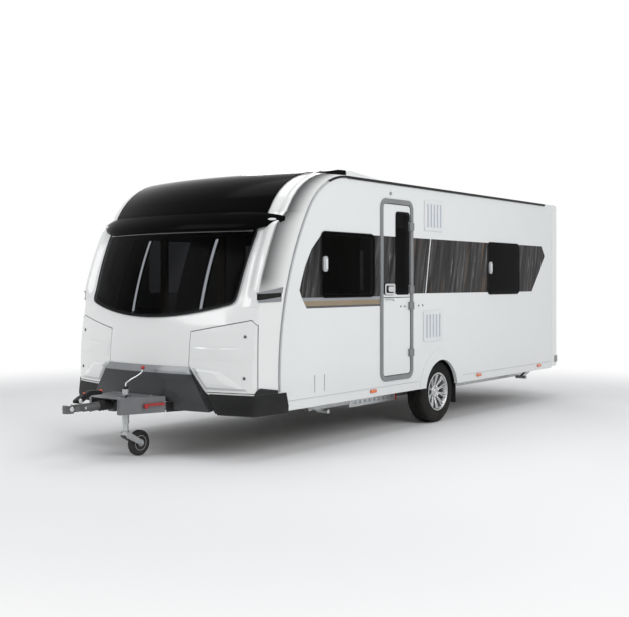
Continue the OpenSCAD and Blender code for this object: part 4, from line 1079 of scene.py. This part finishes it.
def swell(obj, frames=20, most=.022):
    """Blows the cover up as cloth and keeps each point within reach of where it was."""
    before = [v.co.copy() for v in obj.data.vertices]
    mod = obj.modifiers.new("swell", "CLOTH")
    cloth = mod.settings
    cloth.use_pressure, cloth.uniform_pressure_force = True, 4.0
    cloth.effector_weights.gravity = 0.0
    cloth.quality = 4
    mod.collision_settings.use_collision = False
    scene.frame_start, scene.frame_end = 1, frames
    for f in range(1, frames + 1):
        scene.frame_set(f)
    after = obj.evaluated_get(bpy.context.evaluated_depsgraph_get()).to_mesh()
    moved = [v.co.copy() for v in after.vertices]
    obj.modifiers.remove(mod)
    for v, a, b in zip(obj.data.vertices, before, moved):
        step = b - a
        v.co = a + step * min(1.0, most / max(step.length, 1e-9))
    scene.frame_set(1)


def box(lo, hi):
    x0, y0, z0 = lo
    x1, y1, z1 = hi
    return solid_of([(x0, y0), (x1, y0), (x1, y1), (x0, y1)], [], lambda x, y, w: (x, y, z0 + w), z1 - z0)


def seats():
    for name, side in SIDES:
        y0, y1 = (.512, 1.100) if side > 0 else (-1.100, -.512)
        base = piece(f"settee_base_{name}", *box((1.292 - MID, y0, FLOOR_TOP), (2.538 - MID, y1, .800)), WOOD,
                     ease=.003)
        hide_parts("settees")
        yb = (.985, 1.085) if side > 0 else (-1.085, -.985)
        ys = (.528, .962) if side > 0 else (-.962, -.528)
        for k in range(2):
            x0 = 1.312 - MID + k * .618
            cushion(f"seat_cushion_{name}_{k}", (x0, ys[0], .818), (x0 + .590, ys[1], .932), SEAT_CLOTH)
            cushion(f"back_cushion_{name}_{k}", (x0, yb[0], .960), (x0 + .590, yb[1], 1.262), SEAT_CLOTH)
    base = piece("bed_base", *box((-2.798 - MID, -.718, FLOOR_TOP), (-.902 - MID, .718, .868)), WOOD, ease=.003)
    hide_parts("rear_bed")
    cushion("mattress", (-2.772 - MID, -.694, .890), (-.928 - MID, .694, .985), BED_CLOTH, cell=.045)
    for k, y in enumerate((-.36, .36)):
        cushion(f"pillow_{k}", (-2.74 - MID, y - .27, 1.012), (-2.36 - MID, y + .27, 1.085), BED_CLOTH)


seats()


# Jockey crank, coupling fittings, hitch details
def hitch_trim():
    x, y = JOCKEY_X, JOCKEY_Y
    bend = [(x, y, .590), (x, y, .628), (x - .006, y, .640), (x - .060, y + .004, .668), (x - .120, y + .008, .690),
            (x - .165, y + .010, .712), (x - .182, y + .010, .728), (x - .189, y + .010, .748)]
    obj = piece("crank_wire", *tube(bend, .0065, 10), BRIGHT_STEEL)
    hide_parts("jockey_crank")
    piece("crank_collar", *lathe([(.0005, .588), (.020, .588), (.022, .592), (.022, .606), (.018, .612),
                                  (.0005, .613)], (x, y, 0), "z", 32), BLACK_PLASTIC)
    ball = [(.0004, .742), (.010, .744), (.016, .751), (.0185, .760), (.016, .769), (.010, .776), (.0004, .778)]
    piece("crank_knob", *lathe(ball, (x - .189, y + .010, 0), "z", 24), RED_PLASTIC)
    # clamp on the jockey sleeve with its lever
    ring = [(.0295, .500), (.040, .500), (.042, .504), (.042, .536), (.040, .540), (.0295, .540)]
    piece("jockey_clamp", *lathe(ring, (x, y, 0), "z", 40), CAST_STEEL, ease=.001)
    lever = [(x + .03, y + .030, .520), (x + .055, y + .05, .520), (x + .07, y + .075, .530),
             (x + .075, y + .105, .548)]
    piece("clamp_lever", *tube(lever, [.007, .007, .007, .009], 10), BLACK_PLASTIC)
    # orange tip and button on the coupling handle, chrome bosses and bolts on the head
    piece("handle_tip", *button((TIP_X - .380, 0, HITCH_Z + .118), (-.95, 0, .3), .015, .022), ORANGE_TIP)
    piece("handle_button", *button((TIP_X - .214, 0, HITCH_Z + .1135), (-.46, 0, .89), .013, .010), ORANGE_TIP)
    for k, s in enumerate((1, -1)):
        for j, (dx, dz, r) in enumerate(((-.150, .062, .020), (-.046, .005, .022), (-.200, .0, .013))):
            yy = .0265 if j == 0 else (.0462 if j == 1 else .0302)
            piece(f"coupling_boss_{k}_{j}", *button((TIP_X + dx, s * yy, HITCH_Z + dz), (0, s, 0), r, .012),
                  BRIGHT_STEEL, slot="cast_steel")
    piece("coupling_cap", *button((TIP_X - .046, 0, HITCH_Z + .0322), (0, 0, 1), .034, .012), BRIGHT_STEEL,
          slot="cast_steel")
    for k, s in enumerate((1, -1)):
        pad = solid_of(rounded(TIP_X - .135, HITCH_Z - .018, TIP_X - .085, HITCH_Z + .022, .012), [],
                       lambda u, v, w: (u, s * (.0305 + w), v), .010)
        piece(f"friction_pad_{k}", *pad, CAST_STEEL, ease=.003)
    # bolts on the deck of the hitch cover
    zt = max(v.co.z for v in solid_mesh("hitch_cover").vertices)
    for k, (bx, by) in enumerate(((3.36, .20), (3.36, -.20), (3.66, .13), (3.66, -.13))):
        piece(f"cover_screw_{k}", *button((bx - MID, by, zt + .0005), (0, 0, 1), .009, .005), BRIGHT_STEEL)


def jockey_hub():
    c = JOCKEY_AXLE
    for k, s in enumerate((1, -1)):
        hub = lathe([(.0105, s * .0262), (.032, s * .0262), (.032, s * .0307), (.0105, s * .0307)], c, n=32)
        piece(f"jockey_hub_{k}", *hub, GREY_PLASTIC, body="jockey_roller")
        ring = lathe([(.060, s * .0235), (.066, s * .0235), (.066, s * .0275), (.060, s * .0275)], c, n=48)
        piece(f"jockey_ring_{k}", *ring, GREY_PLASTIC, body="jockey_roller")
        nut = button((c[0], c[1] + s * .0442, c[2]), (0, s, 0), .012, .007, n=6)
        piece(f"jockey_nut_{k}", *nut, BRIGHT_STEEL, body="jockey_caster")


jockey_hub()
hitch_trim()


# Door furniture, hinges in grey, vents' slots in blue-grey painted shade, dots on the wall
def door_trim():
    for name in ("door_upper", "door_lower"):
        repaint(solid_mesh(name), FRAME_GREY, lambda c: c.y > HALF_W + .004 or c.x < .645 - MID)
    repaint(solid_mesh("door_handle"), SILVER, lambda c: c.y > HALF_W + .0085)
    bezel = solid_of(rounded(.944, 1.379, 1.126, 1.489, .022), [rounded(.964, 1.398, 1.106, 1.470, .014)[::-1]],
                     on_side(1, HALF_W + .0083), .006)
    piece("handle_bezel", *bezel, SILVER, body="door_top", ease=.002)
    piece("handle_lock", *button((1.108 - MID, HALF_W + .0143, 1.480), (0, 1, 0), .006, .002), BRIGHT_STEEL,
          body="door_top", slot="alloy")
    bar = [(x - MID, HALF_W + .010, z) for x, z in ((.955, 1.318), (.965, 1.330), (.985, 1.336), (1.10, 1.336),
                                                    (1.115, 1.332))]
    piece("lower_door_pull", *tube(bar, .006, 10), SILVER, body="door_bottom")
    for k, (x, z) in enumerate(((.825, 1.261), (.750, 1.260))):
        piece(f"door_stop_{k}", *button((x - MID, HALF_W + .0021, z), (0, 1, 0), .011, .007), GREY_PLASTIC,
              body="door_bottom")
    for k, (x, z) in enumerate(((.477, 1.263), (.397, 1.265))):
        piece(f"wall_stop_{k}", *button((x - MID, HALF_W + .0002, z), (0, 1, 0), .011, .007), GREY_PLASTIC)
    piece("awning_lamp", *button((1.011 - MID, HALF_W + .0002, 2.384), (0, 1, 0), .017, .010), GREY_PLASTIC)
    for k, (x0, z0) in enumerate(((-.028, 2.042), (-.008, .884))):
        for i in range(5):
            a = x0 + .0525 + i * .066
            slot = solid_of(rounded(a, z0 + .0405, a + .025, z0 + .2815, .006), [], on_side(1, HALF_W + .0042), .0008)
            piece(f"vent_slot_{k}_{i}", *slot, VENT_SLOT_PAINTED_SHADE)


door_trim()


# Roof fairings: black heads ahead of the white tails
def fairing_heads():
    outline = [(TOP_CX + u, ROOF_Z + v) for u, v in ((.300, .0015), (.270, .020), (.120, .046), (-.0045, .0505),
                                                     (-.0045, .0015))]
    for name, side in SIDES:
        head = solid_of(outline, [], lambda x, z, w: (x - MID, side * (1.002 + w), z), .120)
        piece(f"fairing_head_{name}", *head, GLOSS_BLACK, ease=.008, segments=3)


fairing_heads()


# Awning rails: grey down the front, black along the roof
repaint(solid_mesh("awning_rails"), GREY_LIGHT, lambda c: c.z < RAIL_TURN_Z)


# Rear: lamp clusters, brake light strip, handles
def rear_trim():
    x = REAR_X

    def on_rear(gap):
        return lambda y, z, w: (x - gap - w, y, z)

    for name, side in SIDES:
        y0, y1 = (.600, .830) if side > 0 else (-.830, -.600)
        rim = solid_of(rounded(y0 - .012, .628, y1 + .012, .982, .03),
                       [rounded(y0 + .002, .642, y1 - .002, .968, .018)[::-1]],
                       on_rear(.0008), .017)
        piece(f"lamp_rim_{name}", *rim, GREY_PLASTIC, ease=.003)
        for k, (z, mat) in enumerate(((.70, CLEAR_LENS), (.805, ORANGE_LENS), (.91, RED_LENS))):
            yc = (y0 + y1) / 2
            piece(f"lamp_lens_{name}_{k}", *button((x - .0142, yc, z), (-1, 0, 0), .042, .006, n=32), mat,
                  slot="lamp_red")
        # the red lens finish glows faintly on the reflector too: painted light
        tri = solid_of([(side * .70, .575), (side * .80, .575), (side * .75, .618)], [], on_rear(.0006), .006)
        piece(f"triangle_reflector_{name}", *tri, RED_LENS, ease=.0015)
        grab = [(x - v, side * .93, z)
                for v, z in ((.001, .86), (.018, .866), (.019, .90), (.019, 1.06), (.018, 1.094), (.001, 1.10))]
        piece(f"rear_handle_{name}", *tube(grab, .009, 10), WHITE_PLASTIC)
    strip = solid_of(rounded(-.22, 1.90, .22, 1.925, .012), [], on_rear(.0006), .009)
    piece("brake_light_strip", *strip, RED_LENS, ease=.003)
    seam = [(x - .0005, y, .585) for y in (-1.0, 1.0)]
    piece("rear_skirt_line", *tube(seam, .003, 6), STRIP_GREY)


rear_trim()


# Mouldings round the rear's lower corners
def rear_corners():
    r = REAR_PLAN_R
    for name, side in SIDES:
        loops = []
        for i in range(15):
            a = radians(84 + 46 * i / 14)
            u, v = cos(a), sin(a)
            c = (REAR_X + r, HALF_W - r)
            loops.append([(c[0] + u * (r + e), side * (c[1] + v * (r + e)), z)
                          for e, z in ((.0006, .462), (.009, .466), (.010, .505), (.009, .546), (.0006, .550))])
        piece(f"rear_corner_{name}", *loft(loops), GREY_PLASTIC, smooth=30)


rear_corners()


# Galvanised side rails in a brighter copy of the zinc finish as painted light, with a row of holes, hung from the
# floor ahead of the wheels
def side_rails():
    for name, side in SIDES:
        holes = [[(.46 + .085 * i + .018 * cos(a), .300 + .018 * sin(a))
                  for a in (-2 * pi * j / 14 for j in range(14))] for i in range(9)]
        web = solid_of(rounded(.40, .258, 1.24, .342, .008), holes,
                       lambda x, z, w: (x - MID, side * (RAIL_Y + w), z), .004)
        lip = box((.40 - MID, side * RAIL_Y - (.040 if side > 0 else 0), .258),
                  (1.24 - MID, side * RAIL_Y + (0 if side > 0 else .040), .262))
        hangers = [box((x - MID, side * RAIL_Y - .002, .330),
                       (x + .05 - MID, side * RAIL_Y + .002, .4995)) for x in (.42, .80, 1.16)]
        piece(f"side_rail_{name}", *join(web, lip, *hangers), ZINC_PAINTED_LIGHT, smooth=30)
        cap = box((.385 - MID, side * RAIL_Y - .014, .255), (.403 - MID, side * RAIL_Y + .014, .345))
        piece(f"rail_end_{name}", *cap, RED_PLASTIC, ease=.003)


side_rails()


# Camera of the photograph
def camera():
    width, height, focal, centre = 629, 617, 993.691, (293.7628, 281.7425)
    data = bpy.data.cameras.new("photo_view")
    data.sensor_width = 36
    data.lens = focal * data.sensor_width / width
    data.shift_x = (width / 2 - centre[0]) / width
    data.shift_y = (centre[1] - height / 2) / width
    data.clip_end = 200
    cam = bpy.data.objects.new("photo_view", data)
    cam.location = (9.3441 - MID, 6.4858, 1.5086)
    cam.rotation_euler = (radians(90), 0, radians(128.241))
    scene.collection.objects.link(cam)
    scene.camera = cam


camera()


# Pale floor, soft lamps and a pale surround
FLOOR_FADE = (4.6, 8.0)
# Each lamp's place, the point it faces, its size and its power
LAMPS = (("key", (2.5, 9.0, 6.5), (0, 0, 1.2), 6.0, 400), ("front", (10, -3.5, 5.5), (2, 0, 1.2), 5.0, 250),
         ("top", (0, 0, 9.0), (0, 0, 0), 7.0, 300), ("back", (-9, -6, 5), (0, 0, 1), 5.0, 240))


def seen_rays(nt):
    """1 for the rays that look at the surround: straight, mirrored or through glass."""
    path = add(nt, "LightPath")
    last, out = path, "Is Camera Ray"
    for name in ("Is Glossy Ray", "Is Transmission Ray"):
        both = add(nt, "Math", operation="MAXIMUM")
        wire(nt, (last, out, both, 0), (path, name, both, 1))
        last, out = both, 0
    return last


def stage():
    mesh = bpy.data.meshes.new("studio_floor")
    mesh.from_pydata([(-40, -40, 0), (40, -40, 0), (40, 40, 0), (-40, 40, 0)], [], [(0, 1, 2, 3)])
    floor = bpy.data.objects.new("studio_floor", mesh)
    scene.collection.objects.link(floor)
    m, nt, shader = new_material("studio_floor")
    put(shader, {"Roughness": .8})
    t = use(nt, TONE, Colour=(.86, .86, .86, 1), Second=(.84, .84, .845, 1), Scale=.4)
    geo, far = add(nt, "NewGeometry"), add(nt, "VectorMath", operation="LENGTH")
    fade = add(nt, "MapRange", {"From Min": FLOOR_FADE[0], "From Max": FLOOR_FADE[1]},
               interpolation_type="SMOOTHSTEP")
    seen_part = add(nt, "Math", operation="MULTIPLY")
    white, mix = add(nt, "Emission"), add(nt, "MixShader")
    wire(nt, (t, "Colour", shader, "Base Color"), (geo, "Position", far, 0), (far, "Value", fade, "Value"),
         (fade, "Result", seen_part, 0), (seen_rays(nt), 0, seen_part, 1), (seen_part, 0, mix, 0),
         (shader, 0, mix, 1), (white, 0, mix, 2), (mix, 0, nt.nodes["Material Output"], "Surface"))
    mesh.materials.append(m)

    world = bpy.data.worlds.new("studio")
    scene.world = world
    world.use_nodes = True
    nt = world.node_tree
    nt.nodes.clear()
    soft = add(nt, "Background", {"Color": (.93, .96, 1, 1), "Strength": .40})
    seen = add(nt, "Background", {"Color": (1, 1, 1, 1), "Strength": 1.0})
    mix = add(nt, "MixShader")
    wire(nt, (seen_rays(nt), 0, mix, 0), (soft, 0, mix, 1), (seen, 0, mix, 2),
         (mix, 0, add(nt, "OutputWorld"), "Surface"))

    for name, place, target, size, power in LAMPS:
        data = bpy.data.lights.new(name, "AREA")
        data.size, data.energy = size, power
        lamp = bpy.data.objects.new(name, data)
        lamp.location = place
        lamp.rotation_euler = (Vector(target) - Vector(place)).to_track_quat("-Z", "Y").to_euler()
        scene.collection.objects.link(lamp)


stage()
scene.view_settings.view_transform = "Standard"
